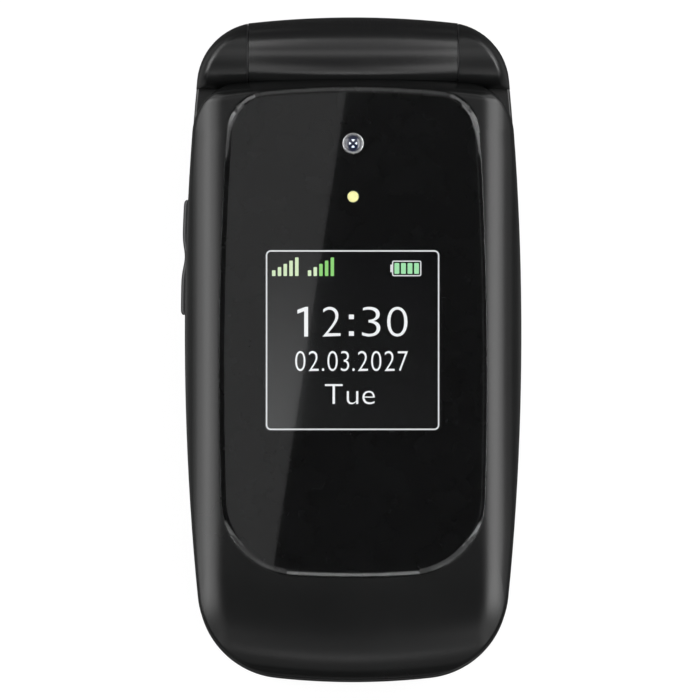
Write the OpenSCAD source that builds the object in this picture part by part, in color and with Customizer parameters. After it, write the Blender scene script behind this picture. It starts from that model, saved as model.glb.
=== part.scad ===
// Clamshell mobile phone, shown closed and lying on its back.
// X runs across the phone, +Y towards the hinge, +Z from the back to the outer face of the lid.
// The origin is the middle of the footprint, on the surface that the phone lies on.

/* [Body] */
// Width of the phone at its widest point, without the side key
body_w = 52.6; // [50:0.1:58]
// Length of the phone, from the free end to the back of the hinge
body_l = 104; // [101:0.5:112]
// Distance of the widest point towards the hinge from the middle of the length
widest_y = 2.6; // [0:0.1:5]
// Radius of the bow of the long sides
side_bow_r = 410; // [300:5:800]
// Radius of the bow of the hinge end
hinge_bow_r = 146; // [120:1:220]
// Radius of the bow of the free end
free_bow_r = 110; // [90:1:200]
// Corner radius at the hinge end
hinge_corner_r = 10; // [8:0.1:12]
// Corner radius at the free end
free_corner_r = 13.6; // [11:0.1:16]
// Wall thickness of the housings
wall = 1.3; // [1.1:0.05:1.5]
// Height of the base half
base_h = 10.2; // [10.2:0.1:11]
// Height of the lid half
lid_h = 8.4; // [8.3:0.1:9.2]
// Air gap between the two closed halves
lid_gap = 0.4; // [0.35:0.05:0.8]

/* [Hinge] */
// Radius of the hinge barrel at the middle of its length
barrel_r = 6.1; // [6:0.05:6.4]
// Half of the length of the barrel between the two knuckles
barrel_half_l = 16.35; // [15.5:0.05:17]
// Height of the hinge axis above the top of the base
hinge_rise = 1.8; // [1.7:0.05:2]
// Gap between each end of the barrel and its knuckle
knuckle_gap = 0.2; // [0.15:0.05:0.3]
// Running clearance between the halves around the hinge
swing_gap = 0.3; // [0.25:0.05:0.4]
// Radius of the spring cartridge in the barrel
can_r = 2.8; // [2.6:0.05:2.9]
// Radius of the hollow bush at the other end of the barrel
bush_r = 2.6; // [2.4:0.05:2.8]
// Running clearance of the bush in the barrel
bush_gap = 0.05; // [0.03:0.01:0.08]
// Bore of the hollow bush, which the flex cable passes through
bush_bore_r = 1.7; // [1.6:0.05:1.8]

/* [Lid] */
// Distance from the hinge axis to the upper edge of the lid's face
lid_setback = 3.3; // [3:0.1:3.6]
// How far the lid stops short of the base at the free end
lid_short = 0.6; // [0.4:0.1:1]
// Radius of the bow of the lid's upper edge
lid_bow_r = 212; // [160:1:300]
// Radius of the lid's upper corners
lid_corner_r = 8.5; // [7.5:0.1:10]
// Height of the lower shell of the lid, up to the seam
lid_seam_h = 2.2; // [2.1:0.05:2.5]
// Height at which the sides of the lid start to roll in, above its inner face
lid_roll_start = 3.2; // [3:0.1:3.6]
// Thickness of the floor of the lid's lower shell
lid_floor = 1.4; // [1.3:0.05:1.45]
// Thickness of the lid's face, with the window recess
lid_face = 2.0; // [1.9:0.05:2.1]

/* [Outer window] */
// Width of the outer window
window_w = 41.8; // [38:0.1:42]
// Length of the outer window
window_l = 76.3; // [70:0.1:77]
// Thickness of the outer window
window_t = 0.9; // [0.8:0.05:0.95]
// Width of the bevel round the outer window
bevel_w = 0.85; // [0.5:0.05:1]
// Drop of the bevel round the outer window
bevel_drop = 0.3; // [0.2:0.05:0.4]
// Distance from the lid's upper edge to the outer window
window_margin = 1.65; // [1.6:0.05:2]
// Radius of the bow of the window's long sides
window_bow_r = 600; // [400:10:900]
// Radius of the window's upper corners
window_top_r = 6.6; // [5:0.1:8]
// Radius of the window's lower corners
window_low_r = 12; // [9:0.1:13]
// Gap between the window and the recess that it sits in
window_gap = 0.1; // [0.08:0.01:0.12]
// Rim of the lid's face round the window recess
face_rim = 0.35; // [0.3:0.05:0.5]

/* [Camera and displays] */
// Distance of the camera from the upper edge of the outer window
camera_in = 8.75; // [8:0.05:9]
// Outer radius of the ring round the camera
camera_r = 1.65; // [1.5:0.05:1.8]
// Distance from the camera to the flash
flash_in = 8.3; // [7.5:0.1:8.5]
// Radius of the flash lens
flash_r = 0.9; // [0.7:0.05:1.2]
// Distance from the upper edge of the outer window to the middle of the small display
small_in = 39.5; // [38:0.1:41]
// Width of the small display module
small_w = 31; // [29:0.1:34]
// Length of the small display module
small_l = 34; // [32:0.1:34]
// Width of the large display module
large_w = 42.7; // [38:0.1:42.8]
// Gap between the large display module and the camera module
large_top_gap = 2; // [1.9:0.1:4]
// Gap between the large display module and the earpiece
large_low_gap = 8; // [7.9:0.1:10]
// Thickness of the large display module
large_t = 2.2; // [2:0.05:2.25]
// Width of the inner window
inner_w = 43.4; // [43.3:0.1:43.8]
// How far the inner window reaches past each end of the large display module
inner_reach = 3; // [2.6:0.1:3.2]
// Thickness of the inner window
inner_t = 0.8; // [0.7:0.05:0.85]

/* [Keys] */
// Width of a number key
key_w = 12.6; // [11:0.1:12.8]
// Length of a number key
key_l = 9; // [8:0.1:9.2]
// Pitch of the columns of number keys
key_pitch_x = 13.8; // [13.8:0.1:14]
// Pitch of the rows of number keys
key_pitch_y = 10.6; // [10.5:0.1:10.8]
// Distance from the free end to the middle of the bottom row
key_row_in = 12; // [11.8:0.1:12.6]
// How far the keys stand above the base
key_proud = 0.15; // [0.1:0.01:0.18]
// Travel of a pressed key
key_travel = 0.25; // [0.15:0.01:0.28]
// Gap round each key in its opening
key_gap = 0.15; // [0.12:0.01:0.2]
// Width of the retaining flange round each key
key_flange = 0.5; // [0.4:0.05:0.5]
// Width of a function key beside the ring
side_key_w = 10.4; // [9:0.1:10.6]
// Length of a function key beside the ring
side_key_l = 8.4; // [7:0.1:8.6]
// Outer radius of the navigation ring
ring_r = 9.2; // [8.8:0.05:9.3]
// Radius of the confirm key in the middle of the ring
ok_r = 4.2; // [3.8:0.05:4.4]

/* [Side key] */
// Length of the side rocker
rocker_l = 18; // [15:0.1:19]
// Height of the side rocker
rocker_h = 3.2; // [2.8:0.1:3.4]
// Distance from the hinge axis to the middle of the rocker
rocker_in = 31.4; // [31:0.1:36]
// How far the rocker stands out of the side
rocker_proud = 0.7; // [0.4:0.05:0.9]
// Depth of the finger dip in the middle of the rocker
rocker_dip = 0.45; // [0.2:0.05:0.6]

/* [Battery] */
// Width of the battery
battery_w = 34; // [32:0.1:36]
// Distance from the free end to the battery
battery_end = 23.9; // [23.4:0.1:27]
// Thickness of the battery
battery_t = 4.3; // [4:0.05:4.4]
// Distance from the hinge axis to the upper end of the battery
battery_in = 28; // [27.8:0.1:29]
// Height of the battery cover
cover_h = 4.55; // [4.4:0.05:4.6]
// Wall thickness of the battery cover
cover_wall = 1.15; // [1:0.05:1.2]

/* [Audio socket] */
// Bore radius of the audio socket
jack_bore_r = 1.8; // [1.75:0.01:1.85]
// Depth of the audio socket
jack_depth = 13.5; // [13:0.1:14]
// Distance from the hinge axis to the audio socket
jack_in = 15; // [14.5:0.1:16]

/* [Hidden] */

// Colours
shell_black = [0.11, 0.115, 0.115];
gloss_black = [0.06, 0.06, 0.06];
key_black = [0.16, 0.16, 0.165];
steel = [0.72, 0.72, 0.74];
board_green = [0.05, 0.25, 0.14];

// Steps of each arc of an outline, and of each rolled edge
end_steps = 3;
corner_steps = 7;
side_steps = 5;
roll_steps = 6;
inner_roll_steps = 3;

// Small clearances
seam = 0.08;       // between two shells of one half
fit_gap = 0.05;    // between a part and the seat that holds it
free_gap = 0.15;   // between parts that only lie beside each other
over = 1;          // how far a cutting tool reaches past what it cuts

// Heights
hinge_z = base_h + hinge_rise;
hinge_y = body_l / 2 - barrel_r;
lid_z = base_h + lid_gap;
lid_top_z = lid_z + lid_h;
lid_seam_z = lid_z + lid_seam_h;
lid_roll_z = lid_z + lid_roll_start;
lid_floor_z = lid_z + lid_floor;
lid_ceiling_z = lid_top_z - lid_face;
cover_roll = 4.6;                        // width of the rolled edge of the back
front_z = cover_h + free_gap;            // lower edge of the base's front housing
plate_t = 1.0;                           // thickness of the keypad plate
plate_z = base_h - plate_t;
frame_t = 1.85;                          // thickness of the rear housing's frame
frame_top_z = front_z + frame_t;
bay_floor_z = battery_z() + battery_t + free_gap;
board_t = 0.8;
board_z = frame_top_z + 0.4;
board_top_z = board_z + board_t;
membrane_z = board_top_z + 0.25;
membrane_t = 0.15;
key_foot_z = membrane_z + membrane_t + key_travel + fit_gap;
key_flange_t = 0.6;
key_top_z = base_h + key_proud;

function battery_z() = cover_wall + 0.25;

// Lengths
knuckle_x = barrel_half_l + knuckle_gap;
knuckle_r = crown(knuckle_x);
lid_swing_r = knuckle_r + swing_gap;
lid_top_y = hinge_y - lid_setback;
lid_end_wall_y = hinge_y - barrel_r - seam - wall;
base_end_wall_y = hinge_y - barrel_r - swing_gap - wall;
free_y = -body_l / 2;
window_top_y = lid_top_y - window_margin;
camera_y = window_top_y - camera_in;
camera_size = 6.4;
earpiece_y = free_y + 8;
earpiece_l = 6;
large_top_y = camera_y - camera_size / 2 - large_top_gap;
large_low_y = earpiece_y + earpiece_l / 2 + large_low_gap;
large_l = large_top_y - large_low_y;
inner_l = large_l + 2 * inner_reach;
inner_mid_y = (large_top_y + large_low_y) / 2;   // middle of the large display and its window
flash_y = camera_y - flash_in;
small_y = window_top_y - small_in;
cavity_corner_r = 5;                     // upper corners of the base's cavity
cover_end_y = hinge_y - 19.9;            // where the battery cover meets the fixed back
battery_top_y = hinge_y - battery_in;
battery_l = battery_top_y - free_y - battery_end;
bay_gap = 0.35;
jack_y = hinge_y - jack_in;
rocker_y = hinge_y - rocker_in;

// ---- Outlines of tangent arcs ----
// An outline is [half width, y of the widest point, side radius,
//                top y, top radius, top corner radius, bottom y, bottom radius, bottom corner radius].
function side_centre(o) = [o[0] - o[2], o[1]];
function top_centre(o) = [0, o[3] - o[4]];
function bottom_centre(o) = [0, o[6] + o[7]];
function angle_of(v) = atan2(v[1], v[0]);

// Centre of the circle of radius r that touches two larger arcs from inside
function corner_centre(c1, r1, c2, r2, r, side) =
    let (a = r1 - r, b = r2 - r, v = c2 - c1, d = norm(v), u = v / d)
    let (along = (a * a - b * b + d * d) / (2 * d), off = sqrt(a * a - along * along))
    c1 + along * u + side * off * [-u[1], u[0]];

function arc(c, r, a0, a1, n) =
    [for (i = [0:n - 1]) let (a = a0 + (a1 - a0) * i / n) c + r * [cos(a), sin(a)]];

// The right half of an outline, from the middle of its bottom to the middle of its top
function half_outline(o) =
    let (cs = side_centre(o), ct = top_centre(o), cb = bottom_centre(o))
    let (kt = corner_centre(cs, o[2], ct, o[4], o[5], 1))
    let (kb = corner_centre(cs, o[2], cb, o[7], o[8], -1))
    concat(
        arc(cb, o[7], -90, angle_of(kb - cb), end_steps),
        arc(kb, o[8], angle_of(kb - cb), angle_of(kb - cs), corner_steps),
        arc(cs, o[2], angle_of(kb - cs), angle_of(kt - cs), side_steps),
        arc(kt, o[5], angle_of(kt - cs), angle_of(kt - ct), corner_steps),
        arc(ct, o[4], angle_of(kt - ct), 90, end_steps),
        [[0, o[3]]]
    );

function outline(o) =
    let (h = half_outline(o), n = len(h))
    concat(h, [for (i = [n - 2:-1:1]) [-h[i][0], h[i][1]]]);

function inset(o, d) =
    [o[0] - d, o[1], o[2] - d, o[3] - d, o[4] - d, max(o[5] - d, 0.4),
     o[6] + d, o[7] - d, max(o[8] - d, 0.4)];
function mix(a, b, t) = a + (b - a) * t;
function with_top(o, y, r) = [o[0], o[1], o[2], y, o[4], r, o[6], o[7], o[8]];
function ring(o, z) = [for (p = outline(o)) [p[0], p[1], z]];

// Rings of a rolled edge, from the outline rim at height z to the outline flat at height z + h
function roll(rim, flat, z, h, steps) =
    [for (i = [0:steps]) let (a = 90 * i / steps) ring(mix(rim, flat, 1 - cos(a)), z + h * sin(a))];

function reversed(list) = [for (i = [len(list) - 1:-1:0]) list[i]];

// Half width of an outline's side at the height y
function side_x(o, y) = o[0] - o[2] + sqrt(o[2] * o[2] - (y - o[1]) * (y - o[1]));

// A solid through rings of equally many points. The first and the last ring are closed by flat caps.
module loft(rings) {
    n = len(rings[0]);
    last = (len(rings) - 1) * n;
    polyhedron(
        points = [for (r = rings) each r],
        faces = concat(
            [[for (i = [0:n - 1]) i]],
            [for (k = [0:len(rings) - 2], i = [0:n - 1])
                let (a = k * n + i, b = k * n + (i + 1) % n)
                each [[a, a + n, b + n], [a, b + n, b]]],
            [[for (i = [n - 1:-1:0]) last + i]]
        )
    );
}

// ---- Outlines of the phone ----
base_rim = [body_w / 2, widest_y, side_bow_r, body_l / 2, hinge_bow_r, hinge_corner_r,
            free_y, free_bow_r, free_corner_r];
lid_rim = [body_w / 2, widest_y, side_bow_r, lid_top_y, lid_bow_r, lid_corner_r,
           free_y + lid_short, free_bow_r, free_corner_r];
window_rim = [window_w / 2, -4, window_bow_r, window_top_y, lid_bow_r - 70, window_top_r,
              window_top_y - window_l, free_bow_r + 40, window_low_r];
lid_flat = inset(window_rim, -(window_gap + face_rim));
back_flat = inset(base_rim, cover_roll);

// ---- General shapes ----
// Turns a shape so that its z axis lies on the hinge axis, with x towards +Y and y towards +Z
module on_hinge() {
    translate([0, hinge_y, hinge_z]) rotate([90, 0, 90]) children();
}

// A straight bar across the phone on the hinge axis
module hinge_rod(r, x0, x1) {
    on_hinge() translate([0, 0, x0]) cylinder(r = r, h = x1 - x0, $fn = 72);
}

// A box given by its lowest and highest corner
module block(a, b) {
    translate(a) cube(b - a);
}

// A box on a centre line, mirrored about x = 0
module wide_block(w, y0, y1, z0, z1) {
    block([-w / 2, y0, z0], [w / 2, y1, z1]);
}

function rounded(w, l, r, n = 4) =
    [for (q = [0:3], i = [0:n])
        let (a = 90 * q + 90 * i / n, c = [[1, 1], [-1, 1], [-1, -1], [1, -1]][q])
        [c[0] * (w / 2 - r) + r * cos(a), c[1] * (l / 2 - r) + r * sin(a)]];

module rounded_plate(w, l, r, z0, z1, n = 4) {
    translate([0, 0, z0]) linear_extrude(z1 - z0) polygon(rounded(w, l, r, n));
}

module outline_plate(o, z0, z1) {
    translate([0, 0, z0]) linear_extrude(z1 - z0) polygon(outline(o));
}

// ---- Hinge ----
// Radius of the crowned barrel at the distance x from its middle, so that it follows the hinge end's bow
function crown(x) = barrel_r - hinge_bow_r + sqrt(hinge_bow_r * hinge_bow_r - x * x);

crown_steps = 8;
barrel_bore_r = 4.0;     // inner radius of the barrel cover
yoke_bore_r = 3.6;       // inner radius of the lid's half of the barrel
ring_wall_r = 3.75;      // outer radius of the bearing rings in the barrel
cover_angle = [-62, 142];

// Profile of the barrel's wall, turned about the hinge axis by rotate_extrude
module barrel_profile(r_in) {
    xs = [for (i = [0:crown_steps]) barrel_half_l * (2 * i / crown_steps - 1)];
    polygon(concat([[r_in, -barrel_half_l]], [for (x = xs) [crown(x), x]], [[r_in, barrel_half_l]]));
}

// The space of the barrel, with a gap all round it
module barrel_space(half_l, gap) {
    xs = [for (i = [0:crown_steps]) half_l * (2 * i / crown_steps - 1)];
    on_hinge() rotate_extrude($fn = 72)
        polygon(concat([[0, -half_l]], [for (x = xs) [crown(x) + gap, x]], [[0, half_l]]));
}

module barrel_sector(r_in, a0, a1) {
    on_hinge() rotate([0, 0, a0]) rotate_extrude(angle = a1 - a0, $fn = 72) barrel_profile(r_in);
}

module hinge_barrel_cover() {
    color(shell_black) barrel_sector(barrel_bore_r, cover_angle[0], cover_angle[1]);
}

can_x0 = 3.6;
can_x1 = barrel_half_l - 0.6;
can_wall = 0.3;

// The lid's part of the barrel: the inner half of the tube, a sleeve for the spring cartridge
// and a bearing ring for the hollow bush
module barrel_yoke() {
    seam_angle = 0.8;
    difference() {
        union() {
            barrel_sector(yoke_bore_r, cover_angle[1] + seam_angle, 360 + cover_angle[0] - seam_angle);
            hinge_rod(ring_wall_r, can_x0, barrel_half_l);
            hinge_rod(ring_wall_r, -barrel_half_l, -barrel_half_l + 3.4);
        }
        hinge_rod(can_r + fit_gap, can_x0 - over, barrel_half_l + over);
        hinge_rod(bush_r + bush_gap, -barrel_half_l - over, -barrel_half_l + 3.4 + over);
        flex_slot();
    }
}

flex_x = [-11, -5];      // the flex cable's two edges, across the phone
flex_t = 0.15;
flex_z = lid_seam_z + 0.4;
flex_root_y = inner_mid_y + large_l / 2 + 0.3;   // the cable starts beside the large display

module flex_slot() {
    block([flex_x[0] - 0.4, lid_end_wall_y - over, flex_z - 0.25],
          [flex_x[1] + 0.4, hinge_y - yoke_bore_r + 1.4, flex_z + 0.45]);
}

// ---- Lid ----
lid_screw_places = [
    for (s = [-1, 1], p = [[body_w / 2 - 4, hinge_y - 13.2], [body_w / 2 - 5.1, free_y + 14.6]])
        [s * p[0], p[1]]
];
lid_cap_r = 2.0;
lid_boss_r = 1.9;
lid_cap_depth = 1.5;
screw_r = 0.7;

// Room in the lid for the barrel, and for the knuckles on both sides of it
module swing_cut() {
    barrel_space(barrel_half_l, seam);
    for (s = [-1, 1]) {
        ends = [s * barrel_half_l, s * body_w];
        hinge_rod(lid_swing_r, min(ends), max(ends));
    }
}

module lid_outer_shell() {
    inner_rim = with_top(inset(lid_rim, wall), lid_end_wall_y, lid_corner_r);
    inner_flat = with_top(lid_flat, lid_end_wall_y, lid_corner_r);
    outside = roll(lid_rim, lid_flat, lid_roll_z, lid_top_z - lid_roll_z, roll_steps);
    inside = roll(inner_rim, inner_flat, lid_roll_z, lid_ceiling_z - lid_roll_z, inner_roll_steps);
    color(shell_black) difference() {
        union() {
            loft(concat(reversed(inside), [ring(inner_rim, lid_seam_z), ring(lid_rim, lid_seam_z)],
                        outside));
            for (p = lid_screw_places) {
                translate([p[0], p[1], lid_seam_z + 0.1]) cylinder(r = lid_boss_r, h = 3.2, $fn = 32);
            }
        }
        swing_cut();
        outline_plate(inset(window_rim, -window_gap), lid_top_z - window_t - fit_gap, lid_top_z + over);
        translate([0, small_y, 0]) rounded_plate(28, 29.4, 1, lid_ceiling_z - over, lid_top_z);
        translate([0, camera_y, lid_ceiling_z - over]) cylinder(r = 2.4, h = lid_face + over, $fn = 48);
        translate([0, flash_y, lid_ceiling_z - over])
            cylinder(r = flash_r + fit_gap, h = lid_face + over, $fn = 32);
        for (p = lid_screw_places) {
            translate([p[0], p[1], lid_seam_z]) cylinder(r = screw_r, h = 3, $fn = 24);
        }
        flex_slot();
    }
}

module lid_inner_shell() {
    edge = 0.35;
    inner = with_top(inset(lid_rim, wall), lid_end_wall_y, lid_corner_r);
    top_z = lid_seam_z - seam;
    color(shell_black) {
        difference() {
            union() {
                loft([
                    ring(inset(lid_rim, edge), lid_z),
                    ring(inset(lid_rim, edge * 0.3), lid_z + edge * 0.3),
                    ring(lid_rim, lid_z + edge),
                    ring(lid_rim, top_z),
                    ring(inner, top_z),
                    ring(inner, lid_floor_z)
                ]);
                for (p = lid_screw_places) {
                    translate([p[0], p[1], lid_z + 0.5])
                        cylinder(r = 2.7, h = lid_seam_h - 0.55, $fn = 32);
                }
            }
            swing_cut();
            translate([0, inner_mid_y, 0]) {
                rounded_plate(inner_w + 2 * window_gap, inner_l + 2 * window_gap, inner_corner_r,
                              lid_z - over, lid_z + inner_t + fit_gap);
                rounded_plate(screen_opening[0], screen_opening[1], 1, lid_z, lid_floor_z + over);
            }
            translate([0, earpiece_y, 0]) rounded_plate(9, 1.4, 0.69, lid_z - over, lid_floor_z + over);
            for (p = lid_screw_places) translate([p[0], p[1], lid_z]) {
                translate([0, 0, -over]) cylinder(r = lid_cap_r, h = lid_cap_depth + over, $fn = 32);
                cylinder(r = screw_r + 0.15, h = lid_seam_h, $fn = 24);
            }
        }
        neck();
        barrel_yoke();
    }
}

// The bridge from the lid's lower shell to the barrel
module neck() {
    root_y = hinge_y - barrel_r - 1.8;
    deep = hinge_y - barrel_r + 1.0;
    difference() {
        wide_block(2 * barrel_half_l, root_y, deep, lid_z, lid_seam_z - seam);
        flex_slot();
    }
}

module outer_window() {
    flat = inset(window_rim, bevel_w);
    foot = lid_top_z - window_t;
    color(gloss_black) difference() {
        loft([
            ring(window_rim, foot),
            ring(window_rim, lid_top_z - bevel_drop),
            ring(flat, lid_top_z)
        ]);
        translate([0, 0, foot - over]) {
            translate([0, camera_y, 0]) cylinder(r = camera_r + fit_gap, h = window_t + 2 * over, $fn = 48);
            translate([0, flash_y, 0]) cylinder(r = flash_r + fit_gap, h = window_t + 2 * over, $fn = 32);
        }
    }
}

small_t = 1.9;

module outer_display() {
    top = lid_ceiling_z - 0.1;
    color([0.1, 0.1, 0.12]) translate([0, small_y - 1, 0]) {
        rounded_plate(small_w, small_l, 0.6, top - small_t, top - 0.6, 2);
        translate([0, 1.6, 0]) rounded_plate(small_w - 2, small_l - 4, 0.4, top - 0.6, top, 2);
    }
}

module camera_ring() {
    color(steel) translate([0, camera_y, lid_top_z - window_t - 0.4]) difference() {
        cylinder(r = camera_r, h = window_t + 0.4 - 0.05, $fn = 48);
        translate([0, 0, -over]) cylinder(r = camera_r - 0.38, h = window_t + 3, $fn = 48);
    }
}

module camera_lens() {
    color([0.05, 0.06, 0.12]) translate([0, camera_y, lid_top_z - window_t - 0.4]) {
        cylinder(r = camera_r - 0.38 - fit_gap, h = 0.9, $fn = 48);
    }
}

module camera_module() {
    top = lid_top_z - window_t - 0.55;
    color([0.08, 0.08, 0.09]) translate([0, camera_y, 0]) {
        rounded_plate(camera_size, camera_size, 0.4, lid_floor_z + 0.35, lid_ceiling_z - 0.5, 2);
        translate([0, 0, lid_ceiling_z - 0.6]) cylinder(r = 2.3, h = top - lid_ceiling_z + 0.6, $fn = 48);
    }
}

lid_board_t = 0.55;
lid_board_z = lid_floor_z + large_t + 0.2;

module flash_lens() {
    color([0.93, 0.9, 0.6]) translate([0, flash_y, lid_ceiling_z - 0.9])
        cylinder(r = flash_r, h = lid_face + 0.9 - 0.08, $fn = 32);
}

// The lid's board, with the flash diode and the flex cable's connector soldered on
module lid_board() {
    y0 = earpiece_y + earpiece_l / 2 + 2.45;
    y1 = camera_y - camera_size / 2 - 0.4;
    connector_l = y1 - flex_root_y + 0.1;
    width = 2 * (lid_screw_places[3][0] - lid_boss_r - 0.3);
    color(board_green) wide_block(width, y0, y1, lid_board_z, lid_board_z + lid_board_t);
    color("khaki") translate([0, flash_y, lid_board_z + lid_board_t])
        rounded_plate(2.4, 2.4, 0.2, 0, 0.9, 1);
    color("ivory") block([flex_x[0], y1 - connector_l, flex_z + flex_t + 0.02],
                         [flex_x[1], y1, lid_board_z + 0.1]);
}

inner_corner_r = 4;
screen_opening = [large_w - 4.7, large_l - 9];   // opening for the large display in the lid's inner shell

// A ring of a rounded rectangle, drawn in by d, at the height z
function rounded_ring(w, l, r, d, z) =
    [for (p = rounded(w - 2 * d, l - 2 * d, r - d)) [p[0], p[1], z]];

module inner_window() {
    bevel = 0.25;
    color(gloss_black) translate([0, inner_mid_y, 0]) loft([
        rounded_ring(inner_w, inner_l, inner_corner_r, bevel, lid_z + fit_gap),
        rounded_ring(inner_w, inner_l, inner_corner_r, 0, lid_z + fit_gap + bevel),
        rounded_ring(inner_w, inner_l, inner_corner_r, 0, lid_z + inner_t)
    ]);
}

module main_display() {
    color([0.12, 0.12, 0.14]) translate([0, inner_mid_y, 0]) {
        rounded_plate(large_w, large_l, 0.5, lid_floor_z + fit_gap, lid_floor_z + fit_gap + large_t, 2);
    }
    color([0.05, 0.05, 0.07]) translate([0, inner_mid_y, 0]) {
        rounded_plate(screen_opening[0] - 0.4, screen_opening[1] - 0.6, 0.3,
                      lid_z + inner_t + 0.1, lid_floor_z + fit_gap + 0.2, 2);
    }
}

module earpiece() {
    color(steel) translate([0, earpiece_y, 0]) {
        rounded_plate(12, earpiece_l, 1, lid_floor_z + fit_gap, lid_floor_z + 2.1, 2);
    }
    color([0.2, 0.2, 0.2]) translate([0, earpiece_y, 0]) {
        rounded_plate(8.8, 1.2, 0.59, lid_z + 0.4, lid_floor_z + fit_gap + 0.1, 4);
    }
}

magnet_x = 15.5;         // the magnet in the lid, over the sensor on the main board

module lid_magnet() {
    color(steel) translate([magnet_x, earpiece_y - 0.5, 0])
        rounded_plate(3, 3, 0.3, lid_floor_z + fit_gap, lid_floor_z + 1.5, 2);
}

module lid_screws() {
    head_z = lid_z + lid_cap_depth - 0.72;
    color(steel) for (p = lid_screw_places) translate([p[0], p[1], 0]) {
        translate([0, 0, head_z]) difference() {
            cylinder(r = lid_cap_r - 0.35, h = 0.7, $fn = 24);
            cross_recess(0.3);
        }
        translate([0, 0, head_z + 0.6]) cylinder(r = screw_r - 0.02, h = 3.2, $fn = 24);
    }
}

// The cross cut into a screw's head, from below
module cross_recess(depth) {
    for (a = [0, 90]) rotate([0, 0, a]) block([-0.9, -0.18, -over], [0.9, 0.18, depth]);
}

module lid_screw_caps() {
    foot = lid_z - lid_gap * 0.6;
    color([0.13, 0.13, 0.13]) for (p = lid_screw_places) translate([p[0], p[1], 0]) {
        translate([0, 0, foot + 0.15]) cylinder(r = lid_cap_r - fit_gap, h = 0.78, $fn = 32);
        translate([0, 0, foot])
            cylinder(r1 = lid_cap_r - 0.3, r2 = lid_cap_r - fit_gap, h = 0.15, $fn = 32);
    }
}

// The flex cable: a flat run from the lid's board to the barrel, then a loose coil round the hinge axis
flex_turns = 1.4;
flex_r0 = 3.2;
flex_r1 = 2.1;
flex_coil_steps = 34;

function flex_coil(side) =
    [for (i = [0:flex_coil_steps])
        let (t = i / flex_coil_steps, a0 = 180 - asin((flex_z + flex_t / 2 - hinge_z) / flex_r0))
        let (a = a0 - 360 * flex_turns * t, r = mix(flex_r0, flex_r1, t) + side * flex_t / 2)
        [hinge_y + r * cos(a), hinge_z + r * sin(a)]];

module lid_flex() {
    outer = flex_coil(1);
    inner = flex_coil(-1);
    color([0.75, 0.45, 0.15]) translate([flex_x[0], 0, 0]) rotate([90, 0, 90])
        linear_extrude(flex_x[1] - flex_x[0]) polygon(concat(
            [[flex_root_y, flex_z + flex_t]], outer, reversed(inner), [[flex_root_y, flex_z]]
        ));
}

// The spring cartridge: a can fixed in the barrel, with a spring that pushes the sliding cam
module hinge_can() {
    color(steel) difference() {
        hinge_rod(can_r, can_x0, can_x1);
        hinge_rod(can_r - can_wall, can_x0 + 0.5, can_x1 + over);
    }
}

cam_r = can_r - can_wall - fit_gap;
cam_lift = 0.7;
cam_x = can_x1 - 1.2;    // plane between the two cams
cam_l = 2.6;
cam_bore_r = 0.7;
lobe_half_w = 1.0;
wire_r = 0.26;
spring_turns = 6;
spring_rings = 12;
spring_sides = 6;

module hinge_spring() {
    x0 = can_x0 + 0.5 + wire_r + 0.03;
    x1 = cam_x - cam_l - wire_r - 0.03;
    mean_r = cam_r - wire_r - 0.15;
    count = spring_turns * spring_rings;
    function centre(i) = let (a = 360 * i / spring_rings)
        [mean_r * cos(a), mean_r * sin(a), x0 + (x1 - x0) * i / count];
    rings = [for (i = [0:count])
        let (a = 360 * i / spring_rings, out = [cos(a), sin(a), 0], c = centre(i))
        [for (k = [spring_sides - 1:-1:0]) let (b = 360 * k / spring_sides)
            c + wire_r * (cos(b) * out + sin(b) * [0, 0, 1])]];
    color(steel) on_hinge() loft(rings);
}

// Two lobes on the face of a cam
module cam_lobes(x0, x1) {
    on_hinge() intersection() {
        translate([0, 0, x0]) cylinder(r = cam_r, h = x1 - x0, $fn = 48);
        block([-cam_r - over, -lobe_half_w, x0], [cam_r + over, lobe_half_w, x1]);
    }
}

module hinge_cam() {
    color(steel) difference() {
        union() {
            hinge_rod(cam_r, cam_x - cam_l, cam_x - cam_lift);
            cam_lobes(cam_x - cam_lift - 0.2, cam_x - fit_gap);
        }
        hinge_rod(cam_bore_r, cam_x - cam_l - over, cam_x + over);
    }
}

head_key_r = 2.3;
head_flat = 1.7;         // half width of the head across its two flats
head_l = 4.0;            // how far the head reaches into the knuckle

module head_shape(r, flat, x0, x1) {
    on_hinge() intersection() {
        translate([0, 0, x0]) cylinder(r = r, h = x1 - x0, $fn = 48);
        block([-r - over, -flat, x0 - over], [r + over, flat, x1 + over]);
    }
}

// The fixed cam, with the flatted head that keys it to the base's knuckle
module hinge_head() {
    color(steel) {
        cam_lobes(cam_x + fit_gap, cam_x + cam_lift + 0.2);
        hinge_rod(cam_r, cam_x + cam_lift, can_x1 + 0.2);
        head_shape(head_key_r, head_flat, can_x1 + 0.1, knuckle_x + head_l - 0.2);
    }
}

bush_l = 1.6;            // how far the bush reaches into the knuckle

module hinge_bush() {
    color([0.85, 0.85, 0.8]) difference() {
        hinge_rod(bush_r, -knuckle_x - bush_l, -barrel_half_l + 3.0);
        hinge_rod(bush_bore_r, -knuckle_x - bush_l - over, -barrel_half_l + 3.0 + over);
    }
}

base_flex_r = bush_bore_r - 0.3;
base_flex_x = [-knuckle_x - bush_l - 2.0, -knuckle_x - bush_l - 0.4];
tail_z = board_top_z + 0.1;

// The base's end of the flex cable: rolled through the bush, then down to the main board
module base_flex() {
    y0 = base_end_wall_y - 4;
    y1 = hinge_y - base_flex_r + 0.25;
    color([0.75, 0.45, 0.15]) {
        difference() {
            hinge_rod(base_flex_r, base_flex_x[0], -barrel_half_l + 4.6);
            hinge_rod(base_flex_r - 0.2, base_flex_x[0] - over, -barrel_half_l + 4.6 + over);
        }
        block([base_flex_x[0], y1 - 0.25, tail_z], [base_flex_x[1], y1, hinge_z]);
        block([base_flex_x[0], y0, tail_z], [base_flex_x[1], y1, tail_z + 0.2]);
    }
}

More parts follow.
